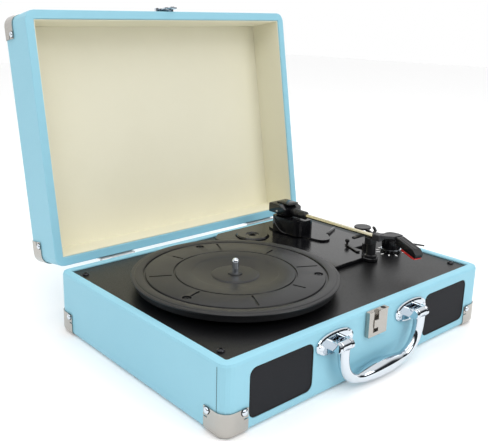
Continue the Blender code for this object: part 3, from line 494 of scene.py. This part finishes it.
def outline(*pairs: tuple[float, float], out: float = 0.0,
            up: float = 0.0) -> list[tuple[float, float]]:
    """Points of a turned solid's outline.

    Args:
        pairs: (radius, height) pairs in millimetres.
        out: metres added to each radius.
        up: metres added to each height.

    Returns:
        The pairs in metres.
    """
    return [(out + radius * MM, up + height * MM) for radius, height in pairs]


def clear_selection() -> None:
    """Leave edit mode and deselect everything."""
    if bpy.context.object and bpy.context.object.mode != "OBJECT":
        bpy.ops.object.mode_set(mode="OBJECT")
    bpy.ops.object.select_all(action="DESELECT")


def pick(obj: bpy.types.Object) -> None:
    """Select one object alone and make it active."""
    clear_selection()
    obj.select_set(True)
    bpy.context.view_layer.objects.active = obj


def settle(obj: bpy.types.Object, name: str) -> bpy.types.Object:
    """Name a piece and bake its place into its vertices.

    Args:
        obj: the piece.
        name: its name.

    Returns:
        The same object.
    """
    pick(obj)
    obj.name = name
    obj.data.name = name
    bpy.ops.object.transform_apply(location=True, rotation=True, scale=True)
    return obj


def soften(obj: bpy.types.Object, degrees: float = 35.0) -> bpy.types.Object:
    """Smooth shading with sharp edges above an angle."""
    pick(obj)
    bpy.ops.object.shade_smooth_by_angle(angle=math.radians(degrees))
    return obj


def box(name: str, low: Point, high: Point, bevel: float = 0.0,
        segments: int = 3) -> bpy.types.Object:
    """A block between two corners with rounded edges.

    Args:
        name: the piece's name.
        low: lowest corner.
        high: highest corner.
        bevel: edge radius.
        segments: steps round each edge.

    Returns:
        The new object.
    """
    clear_selection()
    middle = (Vector(low) + Vector(high)) / 2
    bpy.ops.mesh.primitive_cube_add(size=1.0, location=middle)
    obj = bpy.context.object
    obj.scale = Vector(high) - Vector(low)
    settle(obj, name)
    if bevel:
        modifier = obj.modifiers.new("edges", "BEVEL")
        modifier.width = bevel
        modifier.segments = segments
        bpy.ops.object.modifier_apply(modifier=modifier.name)
    return soften(obj)


def turned(name: str, profile: Sequence[tuple[float, float]], place: Point, steps: int = 96,
           turn: Point = (0.0, 0.0, 0.0)) -> bpy.types.Object:
    """A turned solid, from its bottom centre out, up and back to its top centre.

    Args:
        name: the piece's name.
        profile: (radius, height) pairs.
        place: where the axis and height zero go.
        steps: points round the circle.
        turn: rotation of the axis.

    Returns:
        The new object.
    """
    clear_selection()
    first = profile[0]
    bpy.ops.mesh.primitive_circle_add(vertices=steps, radius=first[0], fill_type="NGON",
                                      location=(0, 0, first[1]))
    obj = bpy.context.object
    settle(obj, name)
    bpy.ops.object.mode_set(mode="EDIT")
    bpy.ops.mesh.select_mode(type="FACE")
    bpy.ops.mesh.select_all(action="SELECT")
    for before, after in zip(profile, profile[1:]):
        rise = after[1] - before[1]
        bpy.ops.mesh.extrude_region_move(TRANSFORM_OT_translate={"value": (0, 0, rise)})
        ratio = after[0] / before[0]
        bpy.ops.transform.resize(value=(ratio, ratio, 1.0), center_override=(0, 0, 0))
    bpy.ops.mesh.select_all(action="SELECT")
    bpy.ops.mesh.normals_make_consistent(inside=False)
    bpy.ops.object.mode_set(mode="OBJECT")
    obj.rotation_euler = turn
    obj.location = place
    settle(obj, name)
    return soften(obj, 32.0)


def carve(obj: bpy.types.Object, tool: bpy.types.Object) -> bpy.types.Object:
    """Cut with a tool, which is then removed.

    Args:
        obj: the piece to cut.
        tool: a closed mesh object.

    Returns:
        The cut piece.
    """
    pick(obj)
    modifier = obj.modifiers.new("carve", "BOOLEAN")
    modifier.operation = "DIFFERENCE"
    modifier.solver = "EXACT"
    modifier.object = tool
    bpy.ops.object.modifier_apply(modifier=modifier.name)
    bpy.data.objects.remove(tool)
    return obj


def merge(name: str, parts: Sequence[bpy.types.Object]) -> bpy.types.Object:
    """Join several objects into one mesh.

    Args:
        name: the joined piece's name.
        parts: mesh objects, the first of which is kept.

    Returns:
        The joined object.
    """
    clear_selection()
    for part in parts:
        part.select_set(True)
    bpy.context.view_layer.objects.active = parts[0]
    bpy.ops.object.join()
    joined = bpy.context.object
    joined.name = name
    joined.data.name = name
    return joined


def transform(obj: bpy.types.Object, matrix: Matrix) -> bpy.types.Object:
    """Move a finished piece by a matrix and bake it in.

    Args:
        obj: the piece.
        matrix: where it goes.

    Returns:
        The same object.
    """
    pick(obj)
    obj.matrix_world = matrix @ obj.matrix_world
    bpy.ops.object.transform_apply(location=True, rotation=True, scale=True)
    return obj


def copy_of(obj: bpy.types.Object, name: str) -> bpy.types.Object:
    """A copy with a mesh of its own.

    Args:
        obj: the object to copy.
        name: the copy's name.

    Returns:
        The copy.
    """
    made = obj.copy()
    made.data = obj.data.copy()
    made.name = name
    made.data.name = name
    bpy.context.collection.objects.link(made)
    return made


def cord_between(name: str, points: Sequence[Point], radii: Sequence[float] | float,
                 steps: int = 16, resolution: int = 10) -> bpy.types.Object:
    """A smooth round bar along points, with a radius at each.

    Args:
        name: the piece's name.
        points: the centre line.
        radii: one radius, or one for each point.
        steps: sides of the round section, divided by four.
        resolution: steps between points.

    Returns:
        The new mesh object.
    """
    clear_selection()
    bpy.ops.curve.primitive_nurbs_path_add()
    obj = bpy.context.object
    curve = obj.data
    curve.splines.clear()
    spline = curve.splines.new("NURBS")
    spline.points.add(len(points) - 1)
    each = [radii] * len(points) if isinstance(radii, float) else radii
    for knot, point, radius in zip(spline.points, points, each):
        knot.co = (*point, 1.0)
        knot.radius = radius / MM
    spline.order_u = 4
    spline.use_endpoint_u = True
    spline.resolution_u = resolution
    curve.bevel_depth = MM
    curve.bevel_resolution = steps // 2
    curve.use_fill_caps = True
    bpy.ops.object.convert(target="MESH")
    made = bpy.context.object
    settle(made, name)
    return soften(made, 50.0)


def finish(obj: bpy.types.Object, body: Body, look: Finish, slot: str,
           stands_for: Sequence[str] = ()) -> bpy.types.Object:
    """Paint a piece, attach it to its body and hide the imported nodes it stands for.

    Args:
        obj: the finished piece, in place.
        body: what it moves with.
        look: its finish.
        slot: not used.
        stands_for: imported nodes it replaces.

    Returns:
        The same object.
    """
    paint(obj, look)
    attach(obj, body.value)
    if stands_for:
        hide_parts(*stands_for)
    log.info("%s on %s", obj.name, body.value)
    return obj


# ------------------------------------------------------------------ sub-assemblies

@dataclass
class Dressing:
    """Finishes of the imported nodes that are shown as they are."""

    nodes: dict[str, bpy.types.Object]
    finishes: dict[str, Finish] = field(default_factory=dict)

    def assign(self, look: Finish, *names: str) -> None:
        """Give several nodes a finish."""
        for name in names:
            self.finishes[name] = look

    def plan(self) -> None:
        """List every node's finish."""
        numbers = range(1, 5)
        self.assign(TURQUOISE, "base_shell", "lid_shell")
        self.assign(CREAM, "lid_lining")
        self.assign(DECK_BLACK, "deck_board")
        self.assign(UNDER_BLACK, "bottom_panel")
        self.assign(RUBBER, "drive_belt", *(f"foot_{n}" for n in numbers))
        self.assign(NICKEL, "catch_plate", "catch_slider", *(f"base_corner_{n}" for n in numbers),
                    *(f"lid_corner_{n}" for n in numbers))
        self.assign(CHROME, "handle_lug_left", "handle_lug_right", "handle_bail", "hasp_plate",
                    "hasp", "spindle_shaft")
        self.assign(DARK_STEEL, *(f"deck_screw_{n}" for n in numbers))
        self.assign(STEEL, "hinge_base_left", "hinge_base_right", "hinge_lid_left",
                    "hinge_lid_right", "drive_motor", "volume_pot")
        self.assign(PALE_BRASS, "bearing_bush", "motor_pulley", "arm_tube")
        self.assign(GLOSS_BLACK, "mechanism_plate", "platter", "single_adapter", "volume_knob",
                    "arm_base", "arm_block")
        self.assign(SATIN_BLACK, "socket_strip", "speaker_left", "speaker_right", "arm_yoke",
                    "rest_post", "rest_clip", "cue_platform", "cue_lever", "speed_lever",
                    "cartridge")
        self.assign(GREY_BLACK, "headshell")
        self.assign(GRILLE, "speaker_grille_left", "speaker_grille_right")
        self.assign(BOARD_GREEN, "circuit_board")
        self.assign(RED, "stylus")

    def apply(self) -> None:
        """Paint every node."""
        self.plan()
        for name, node in self.nodes.items():
            paint(node, self.finishes[name])
        log.info("dressed %d nodes", len(self.nodes))


@dataclass
class Platter:
    """Playing surface with moulded rings, radial grooves and screw wells."""

    centre: Point
    radius: float
    top: float
    low: float

    def build(self) -> None:
        """Model the platter and its spindle."""
        rim = self.radius
        foot = self.low - self.top
        profile = [(20 * MM, foot + 2 * MM), (rim - 6 * MM, foot + 2 * MM),
                   (rim - 5.2 * MM, foot), (rim - 3.4 * MM, foot)]
        profile += outline((-2.4, -3.6), (-0.7, -2.9), (-0.1, -2.3), (0, -1.5), (-0.4, -0.9),
                           (-1.1, -0.6), (-3.3, -0.6), (-3.9, -0.1), (-4.4, 0), (-10.9, 0),
                           (-11.5, -0.3), (-11.9, -1.6), (-13.6, -1.6), (-14.1, -0.3),
                           (-14.7, 0), out=rim)
        profile += outline((60, 0), (59.5, -1.2), (58.3, -1.2), (57.8, 0), (43, 0), (42.3, -0.3),
                           (40, -0.8), (26.5, -3), (23.4, -3.3), (22.6, -2.6), (21.6, -2.4),
                           (7, -2.4), (6.5, -1.3), (4.4, -0.9))
        disc = turned("platter_disc", profile, (0, 0, 0), 160)
        self._carve_grooves(disc)
        transform(disc, Matrix.Translation(self.centre))
        look = RecordMat("platter_plastic", (0.007, 0.007, 0.008), self.centre[:2])
        finish(disc, Body.PLATTER, look, "black_plastic", ["platter"])
        self._screws()
        self._spindle()

    def _carve_grooves(self, disc: bpy.types.Object) -> None:
        """Cut the radial grooves and the screw wells.

        Args:
            disc: the platter, centred on the origin.
        """
        bars = []
        for number in range(8):
            angle = math.radians(17.2 + 45 * number)
            outer = 83.5 * MM if number % 2 else 75 * MM
            bar = box("groove", mm(61.8, -1.1, -1.3), (outer, 1.1 * MM, 1 * MM), 0.3 * MM, 2)
            transform(bar, Matrix.Rotation(angle, 4, "Z"))
            bars.append(bar)
        for degrees in WELL_ANGLES:
            angle = math.radians(degrees)
            spot = (WELL_OUT * math.cos(angle), WELL_OUT * math.sin(angle), 0)
            bars.append(turned("well", outline((4, -1.9), (4.2, -1.7), (4.5, 1)), spot, 32))
        carve(disc, merge("grooves", bars))
        soften(disc, 30.0)

    def _screws(self) -> None:
        """Cross-headed screws in the wells."""
        for number, degrees in enumerate(WELL_ANGLES, 1):
            angle = math.radians(degrees)
            spot = Vector((WELL_OUT * math.cos(angle), WELL_OUT * math.sin(angle), -1.85 * MM))
            spot += Vector(self.centre)
            screw = screw_head(f"platter_screw_{number}", 3 * MM, 1.5 * MM)
            transform(screw, Matrix.Translation(spot))
            finish(screw, Body.PLATTER, DARK_STEEL, "steel")

    def _spindle(self) -> None:
        """Bright spindle with a rounded nose."""
        r = 3.5 * MM
        profile = [(r, -20 * MM), (r, 9.6 * MM), (r * 0.97, 10.6 * MM), (r * 0.88, 11.6 * MM),
                   (r * 0.72, 12.4 * MM), (r * 0.5, 13 * MM), (r * 0.25, 13.4 * MM),
                   (r * 0.05, 13.5 * MM)]
        spindle = turned("spindle", profile, self.centre, 48)
        finish(spindle, Body.PLATTER, CHROME, "chrome", ["spindle_shaft"])


def screw_head(name: str, radius: float, height: float) -> bpy.types.Object:
    """A pan head with a cross recess, standing on z = 0.

    Args:
        name: the screw's name.
        radius: half the head's width.
        height: the head's height.

    Returns:
        The new object.
    """
    profile = [(radius * 0.98, 0), (radius, height * 0.3), (radius * 0.86, height * 0.72),
               (radius * 0.5, height * 0.95), (radius * 0.1, height)]
    head = turned(name, profile, (0, 0, 0), 32)
    arm = radius * 0.62
    slot_half = radius * 0.13
    first = box("slot", (-arm, -slot_half, height * 0.35), (arm, slot_half, height * 2))
    second = box("slot", (-slot_half, -arm, height * 0.35), (slot_half, arm, height * 2))
    carve(head, first)
    carve(head, second)
    return soften(head, 30.0)


@dataclass
class Deck:
    """Screws, printed marks and small parts on the deck."""

    top: float
    screw_spots: Sequence[tuple[float, float]]
    knob: tuple[float, float]

    def build(self) -> None:
        """Model the deck's details."""
        for number, (x, y) in enumerate(self.screw_spots, 1):
            screw = screw_head(f"deck_screw_head_{number}", 3.3 * MM, 2.1 * MM)
            transform(screw, Matrix.Translation((x, y, self.top + 0.2 * MM)))
            finish(screw, Body.BASE, DARK_STEEL, "steel", [f"deck_screw_{number}"])
        self._volume_marks()
        self._rib()

    def _volume_marks(self) -> None:
        """Printed strokes round the volume knob."""
        strokes = []
        for number in range(11):
            angle = math.radians(-60 + 30 * number)
            stroke = box("mark", mm(12.6, -0.8, 0), mm(17, 0.8, 0.06))
            place = Matrix.Translation((*self.knob, self.top)) @ Matrix.Rotation(angle, 4, "Z")
            transform(stroke, place)
            strokes.append(stroke)
        marks = merge("volume_marks", strokes)
        finish(marks, Body.BASE, WHITE_PAINT, "board")

    def _rib(self) -> None:
        """Raised bar on the mechanism plate, beside the arm."""
        start = Vector(mm(121, 33, 0))
        end = Vector(mm(146, 44, 0))
        span = end - start
        bar = box("plate_rib", (0, -1.6 * MM, 0), (span.length, 1.6 * MM, 3 * MM), 0.8 * MM, 3)
        floor = self.top + 4.1 * MM
        turn = Matrix.Rotation(math.atan2(span.y, span.x), 4, "Z")
        transform(bar, Matrix.Translation((start.x, start.y, floor)) @ turn)
        finish(bar, Body.BASE, GLOSS_BLACK, "black_plastic")


@dataclass
class Handle:
    """Smooth bail whose grip swells in the middle."""

    axis: Point
    reach: float

    def build(self) -> None:
        """Model the bail, eyes included."""
        ax, ay, az = self.axis
        points: list[Point] = []
        radii: list[float] = []
        left = [(-54.5, -2.0, 5.4), (-54.5, -8.0, 5.2), (-54.2, -13.0, 5.0), (-53.0, -19.0, 4.9),
                (-50.0, -26.0, 4.8), (-45.0, -32.0, 4.8), (-38.5, -36.2, 4.7), (-31.0, -38.0, 4.6),
                (-24.0, -38.3, 6.0), (-12.0, -38.2, 7.5)]
        shape = left + [(0.0, -38.0, 7.8)] + [(-x, z, r) for x, z, r in reversed(left)]
        for x, z, r in shape:
            points.append((x * MM, ay, az + z * MM))
            radii.append(r * MM)
        bail = cord_between("handle_grip", points, radii, 24, 12)
        parts = [bail]
        for side in (-1, 1):
            profile = outline((3.2, -5.6), (4.3, -5.5), (4.7, -4.9), (4.7, 4.9), (4.3, 5.5),
                              (3.2, 5.6))
            place = (side * self.reach * MM, ay, az)
            eye = turned("eye", profile, place, 40, (0, math.pi / 2, 0))
            parts.append(eye)
        grip = merge("handle_grip", parts)
        finish(grip, Body.BAIL, CHROME, "chrome", ["handle_bail"])


@dataclass
class ToneArm:
    """Block, collar, lead wire, cartridge and stylus of the arm at rest."""

    pivot: Point

    def build(self) -> None:
        """Model the arm's finer pieces."""
        self._block()
        self._collar()
        self._lead()
        head = (Matrix.Translation(Vector(self.pivot) + Vector(mm(12, -154.6, 3.4)))
                @ Matrix.Rotation(math.radians(-14), 4, "Z")
                @ Matrix.Rotation(math.radians(12), 4, "X"))
        self._cartridge(head)
        self._stylus(head)

    def _at(self, x: float, y: float, z: float) -> Point:
        """A point in millimetres from the tilt axis."""
        px, py, pz = self.pivot
        return (px + x * MM, py + y * MM, pz + z * MM)

    def _block(self) -> None:
        """Housing over the bearing, sloping to the front, with a square weight plate on top."""
        body = box("arm_housing", self._at(-14, -13, -2.6), self._at(14, 14, 8.4), 1.2 * MM, 3)
        slope = box("slope", self._at(-16, -14, 0), self._at(16, 0, 8))
        turn = Matrix.Translation(self._at(0, -3, 8.4)) @ Matrix.Rotation(math.radians(22), 4, "X")
        transform(slope, turn @ Matrix.Translation(Vector(self._at(0, 0, 0))).inverted())
        carve(body, slope)
        carve(body, box("well", self._at(-10.4, -7, -6), self._at(10.4, 7, 4.4)))
        soften(body, 30.0)
        plate = box("weight", self._at(-6.5, -11.5, 7.4), self._at(10, 8, 10), 0.7 * MM, 3)
        inset = box("weight_top", self._at(-4.4, -9.4, 9.6), self._at(7.9, 5.9, 10.25),
                    0.25 * MM, 2)
        housing = merge("arm_housing", [body, plate, inset])
        finish(housing, Body.ARM, GLOSS_BLACK, "black_plastic", ["arm_block"])
        for side, name in ((-1, "left"), (1, "right")):
            profile = outline((1.5, 0), (1.5, 0.35), (1.1, 0.6), (0.2, 0.7))
            end = turned(f"axle_end_{name}", profile, self._at(side * 13.8, 0, 0.4), 24,
                         (0, side * math.pi / 2, 0))
            finish(end, Body.ARM, STEEL, "steel")

    def _collar(self) -> None:
        """Ribbed neck that holds the tube."""
        profile = outline((4.6, 0), (5, 0.6), (5, 5), (4.4, 5.6), (4.4, 7), (5, 7.6), (5, 11),
                          (4.3, 11.8), (4.3, 13.4), (4.8, 14), (4.8, 21.2), (4, 22),
                          (2.35, 22.2))
        collar = turned("arm_collar", profile, self._at(0, -12.4, 0), 40, (math.pi / 2, 0, 0))
        finish(collar, Body.ARM, SATIN_BLACK, "black_plastic")

    def _lead(self) -> None:
        """Thin lead wire that loops beside the foot."""
        points = [self._at(-14, 4, -8), self._at(-17, 2, -10.6), self._at(-18, -5, -17.6),
                  self._at(-17, -13, -22.8), self._at(-14, -17, -23.4)]
        wire = cord_between("lead_wire", points, 0.5 * MM, 8, 6)
        finish(wire, Body.BASE, GREY_BLACK, "black_plastic")

    def _cartridge(self, head: Matrix) -> None:
        """Slim wedge with a raised spine and the finger lift.

        Args:
            head: place and tilt of the headshell's end.
        """
        body = box("cartridge_body", mm(-5.1, -31.8, -8.2), mm(5.1, 0, -0.2), 0.9 * MM, 3)
        nose = box("nose", mm(-8, -12, 0), mm(8, 6, 9))
        turn = Matrix.Rotation(math.radians(33), 4, "X")
        transform(nose, Matrix.Translation(mm(0, -25.5, 0.1)) @ turn)
        carve(body, nose)
        for side in (-1, 1):
            middle = side * 2.6 * MM
            half = 0.35 * MM
            carve(body, box("groove", (middle - half, -40 * MM, -0.75 * MM),
                            (middle + half, -2.5 * MM, 1 * MM)))
        soften(body, 30.0)
        points = [mm(3, -14, -1.8), mm(8, -15, -2.2), mm(14, -15.6, -3.8), mm(20, -16, -5.2)]
        lift = cord_between("finger_lift", points, mm(0.95, 0.95, 0.9, 0.8), 12, 6)
        shell = merge("cartridge_body", [body, lift])
        transform(shell, head)
        finish(shell, Body.ARM, SATIN_BLACK, "black_plastic", ["cartridge"])

    def _stylus(self, head: Matrix) -> None:
        """Red stylus holder with its slanted keel.

        Args:
            head: place and tilt of the headshell's end.
        """
        holder = box("stylus_holder", mm(-4.5, -31.6, -11), mm(4.5, -10, -8.7), 0.6 * MM, 3)
        keel = box("keel", mm(-8, -14, -8), mm(8, 8, 0))
        turn = Matrix.Rotation(math.radians(-18), 4, "X")
        transform(keel, Matrix.Translation(mm(0, -27, -10.9)) @ turn)
        carve(holder, keel)
        transform(soften(holder, 30.0), head)
        finish(holder, Body.ARM, RED, "red", ["stylus"])


@dataclass
class Controls:
    """Volume knob with its bright ring and pointer."""

    knob: Point
    knob_top: float

    def build(self) -> None:
        """Model the knob."""
        height = self.knob_top - self.knob[2]
        profile = outline((9, 0), (10.9, 0.1), (11, 2.6), (10.2, 3.4))
        profile += outline((9.9, -1.6), (9.5, -0.6), (8.6, -0.1), (7.4, 0), (6.8, -0.6),
                           (0.4, -0.7), up=height)
        body = turned("volume_knob_body", profile, self.knob, 96)
        there = Matrix.Translation(self.knob)
        ribs = []
        count = 32
        for number in range(count):
            rib = box("rib", mm(9.75, -0.32, 4.2), (10.3 * MM, 0.32 * MM, height - 2.2 * MM),
                      0.15 * MM, 1)
            transform(rib, there @ Matrix.Rotation(2 * math.pi * number / count, 4, "Z"))
            ribs.append(rib)
        knob = merge("volume_knob_body", [body, *ribs])
        finish(knob, Body.KNOB, GLOSS_BLACK, "black_plastic", ["volume_knob"])
        profile = outline((10.6, 2.7), (11.15, 2.9), (11.15, 3.6), (10, 3.9))
        ring = turned("knob_ring", profile, self.knob, 64)
        finish(ring, Body.KNOB, CHROME, "chrome")
        line = box("pointer", (4.2 * MM, -0.4 * MM, height - 0.75 * MM),
                   (6.6 * MM, 0.4 * MM, height - 0.5 * MM))
        transform(line, there @ Matrix.Rotation(math.radians(240), 4, "Z"))
        finish(line, Body.KNOB, WHITE_PAINT, "board")


@dataclass
class Catch:
    """Near-black sheets on the case catch: painted shade standing for its slot and its hole."""

    low: Point
    high: Point

    def build(self) -> None:
        """Model the painted shade of the slot and of the hole."""
        front = self.low[1]
        # A thin near-black sheet: painted shade for the slot's opening.
        slot = box("catch_slot_shade", (-3.4 * MM, front + 1.5 * MM, self.low[2] + 3.2 * MM),
                   (5 * MM, front + 1.62 * MM, self.low[2] + 4.6 * MM))
        finish(slot, Body.BASE, SHADE_BLACK, "nickel")
        # A flat near-black disc: painted shade for the hole.
        hole = turned("catch_hole_shade", outline((2.4, 0), (2.4, 0.08), (2.2, 0.1)),
                      (7.5 * MM, front + 2.6 * MM, self.high[2] - 0.02 * MM), 32)
        finish(hole, Body.BASE, SHADE_BLACK, "nickel")


@dataclass
class LugScrews:
    """Cross-headed screws of the handle lugs."""

    spots: Sequence[Point]

    def build(self) -> None:
        """Model the screws."""
        for number, spot in enumerate(self.spots, 1):
            screw = screw_head(f"lug_screw_{number}", 2.9 * MM, 1.5 * MM)
            transform(screw, Matrix.Translation(spot) @ Matrix.Rotation(math.pi / 2, 4, "X"))
            finish(screw, Body.BASE, CHROME, "chrome")


@dataclass
class GrilleBeads:
    """Rolled rim round each speaker grille, near-black as painted shade along the recessed edge of
    the opening.
    """

    grilles: Sequence[tuple[Point, Point]]
    corner: float = 6.7 * MM

    def build(self) -> None:
        """Model a rim round each grille."""
        for number, (low, high) in enumerate(self.grilles, 1):
            ring: list[Point] = []
            inset = 0.55 * MM
            for sx, sz, start in ((1, 1, 0), (-1, 1, 90), (-1, -1, 180), (1, -1, 270)):
                cx = (high[0] if sx > 0 else low[0]) - sx * (self.corner + inset)
                cz = (high[2] if sz > 0 else low[2]) - sz * (self.corner + inset)
                for degrees in (0, 22, 45, 68, 90):
                    angle = math.radians(start + degrees)
                    ring.append((cx + self.corner * math.cos(angle), low[1] + 0.1 * MM,
                                 cz + self.corner * math.sin(angle)))
            ring.append(ring[0])
            rim = cord_between(f"grille_rim_{number}", ring, 0.6 * MM, 12, 4)
            # The rim takes the near-black of painted shade along the grille's recessed edge.
            finish(rim, Body.BASE, SHADE_BLACK, "black_plastic")


@dataclass
class Rivets:
    """Domed rivets of the corner protectors, each ringed at its foot by painted shade."""

    half: tuple[float, float]
    lid_top: float
    hinge: Point
    angle: float
    along: float = 19.6 * MM
    height: float = 18.2 * MM
    proud: float = 1.1 * MM

    def build(self) -> None:
        """Model one rivet and place a copy at each hole."""
        # A thin near-black ring under each dome: painted shade where the rivet meets the
        # protector.
        profile = outline((3.4, 0), (3.5, 0.1), (3.3, 0.3))
        shade_ring = turned("rivet_shade_ring", profile, (0, 0, 0), 24)
        profile = outline((2.95, 0), (3, 0.7), (2.7, 1.3), (2, 1.8), (1, 2.1), (0.2, 2.15))
        dome = turned("rivet_dome", profile, (0, 0, 0), 24)
        there = Matrix.Translation(self.hinge)
        opened = there @ Matrix.Rotation(-self.angle, 4, "X") @ there.inverted()
        for lid in (False, True):
            shade_rings = []
            domes = []
            z = self.lid_top - self.height if lid else self.height
            for sx in (-1, 1):
                for sy in (-1, 1):
                    side = (sx * (self.half[0] + self.proud), sy * (self.half[1] - self.along), z)
                    end = (sx * (self.half[0] - self.along), sy * (self.half[1] + self.proud), z)
                    holes = ((side, sx * math.pi / 2, "Y"), (end, -sy * math.pi / 2, "X"))
                    for spot, angle, axis in holes:
                        put = Matrix.Translation(spot) @ Matrix.Rotation(angle, 4, axis)
                        if lid:
                            put = opened @ put
                        shade_rings.append(transform(copy_of(shade_ring, "shade_ring"), put))
                        domes.append(transform(copy_of(dome, "dome"), put))
            body = Body.LID if lid else Body.BASE
            name = "lid" if lid else "base"
            finish(merge(f"{name}_rivet_shade_rings", shade_rings), body, SHADE_BLACK, "nickel")
            finish(merge(f"{name}_rivets", domes), body, CHROME, "nickel")
        bpy.data.objects.remove(shade_ring)
        bpy.data.objects.remove(dome)


@dataclass
class CaseTrim:
    """Seams of the covering where its ends meet."""

    half_width: float

    def build(self) -> None:
        """Model the seams on the short walls."""
        for side, name in ((-1, "left"), (1, "right")):
            x = side * self.half_width
            near, far = sorted((x - side * 0.2 * MM, x + side * 0.12 * MM))
            seam = box(f"seam_{name}", (near, -119.7 * MM, 21 * MM),
                       (far, -119.1 * MM, 59 * MM), 0.1 * MM, 1)
            finish(seam, Body.BASE, SEAM, "leatherette")


@dataclass
class Studio:
    """White floor, soft light and the view."""

    eye: Point
    yaw: float
    pitch: float
    roll: float
    lens: float
    shift: tuple[float, float]

    def build(self) -> None:
        """Set the scene up."""
        self._floor()
        self._world()
        self._lamp("key", (-0.9, -0.9, 1.5), 1.1, 8.0)
        self._lamp("fill", (0.5, -1.5, 1.0), 0.9, 9.0)
        self._lamp("top", (0.0, 0.2, 1.8), 1.5, 5.0)
        self._camera()

    def _floor(self) -> None:
        """A pale plain floor."""
        clear_selection()
        bpy.ops.mesh.primitive_plane_add(size=8.0, location=(0, 0, -2.0 * MM))
        floor = bpy.context.object
        floor.name = "floor"
        graph = Graph(bpy.data.materials.new("floor"))
        graph.feed("Base Color", (0.95, 0.95, 0.95))
        graph.feed("Roughness", 0.6)
        graph.feed("Emission Color", (1.0, 1.0, 1.0))
        graph.feed("Emission Strength", 0.09)
        floor.data.materials.append(graph.owner)

    def _world(self) -> None:
        """White surroundings with a dark panel low in front, which the view doesn't show."""
        graph = Graph(bpy.data.worlds.new("white"), "Background")
        direction = graph.node("ShaderNodeTexCoord", {}, output=0)
        ahead = graph.node("ShaderNodeVectorMath", {0: direction, 1: (-0.26, -0.966, 0.0)},
                           output=1, operation="DOT_PRODUCT")
        height = graph.node("ShaderNodeSeparateXYZ", {0: direction}, output=2)
        front = graph.step(ahead, -0.1, 0.25, 0.0, 1.0)
        low = graph.step(height, 0.35, 0.6, 1.0, 0.0)
        in_view = graph.node("ShaderNodeLightPath", {})
        panel = front * low * (1.0 - in_view)
        graph.feed("Color", graph.blend(panel, (1.0, 1.0, 1.0), (0.03, 0.033, 0.037)))
        graph.feed("Strength", 1.0)
        bpy.context.scene.world = graph.owner
        bpy.context.scene.view_settings.view_transform = "Standard"

    def _lamp(self, name: str, place: Point, size: float, power: float) -> None:
        """A soft square lamp aimed at the case.

        Args:
            name: the lamp's name.
            place: where it hangs.
            size: its side.
            power: its power in watts.
        """
        clear_selection()
        bpy.ops.object.light_add(type="AREA", location=place)
        lamp = bpy.context.object
        lamp.name = name
        lamp.data.size = size
        lamp.data.energy = power
        aim = Vector((0, 0, 0.1)) - Vector(place)
        lamp.rotation_euler = aim.to_track_quat("-Z", "Y").to_euler()

    def _camera(self) -> None:
        """The fixed view."""
        clear_selection()
        bpy.ops.object.camera_add(location=self.eye)
        camera = bpy.context.object
        camera.name = "view"
        forward = Vector((math.sin(self.yaw) * math.cos(self.pitch),
                          math.cos(self.yaw) * math.cos(self.pitch), -math.sin(self.pitch)))
        level = Vector((math.cos(self.yaw), -math.sin(self.yaw), 0.0))
        upright = level.cross(forward)
        right = level * math.cos(self.roll) + upright * math.sin(self.roll)
        up = upright * math.cos(self.roll) - level * math.sin(self.roll)
        turn = Matrix((right, up, -forward)).transposed()
        camera.rotation_euler = turn.to_euler()
        camera.data.sensor_width = 36.0
        camera.data.lens = self.lens
        camera.data.shift_x, camera.data.shift_y = self.shift
        camera.data.clip_start = 0.01
        bpy.context.scene.camera = camera


def middle_of(low: Point, high: Point) -> tuple[float, float]:
    """Middle of a box, seen from above."""
    return ((low[0] + high[0]) / 2, (low[1] + high[1]) / 2)


def main() -> None:
    """Build the scene."""
    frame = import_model()
    Dressing(frame["nodes"]).apply()

    low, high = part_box("platter")
    Platter((*middle_of(low, high), high[2]), (high[0] - low[0]) / 2, high[2], low[2]).build()

    deck_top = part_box("deck_board")[1][2]
    spots = [middle_of(*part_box(f"deck_screw_{number}")) for number in range(1, 5)]
    low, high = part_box("volume_knob")
    Deck(deck_top, spots, middle_of(low, high)).build()
    Handle(BAIL_AXIS, LUG_OUT).build()
    ToneArm(ARM_TILT_AXIS).build()
    Controls((*middle_of(low, high), low[2]), high[2]).build()
    Catch(*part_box("catch_plate")).build()
    lugs = [(side * LUG_OUT * MM + way * LUG_SCREW_OUT, LUG_FACE, BAIL_AXIS[2])
            for side in (-1, 1) for way in (-1, 1)]
    LugScrews(lugs).build()
    CaseTrim(CASE_HALF[0]).build()
    GrilleBeads([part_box("speaker_grille_left"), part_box("speaker_grille_right")]).build()
    Rivets(CASE_HALF, LID_TOP, HINGE_AXIS, LID_OPENING).build()
    Studio(EYE, YAW, PITCH, ROLL, LENS, SHIFT).build()


if __name__ == "__main__":
    main()
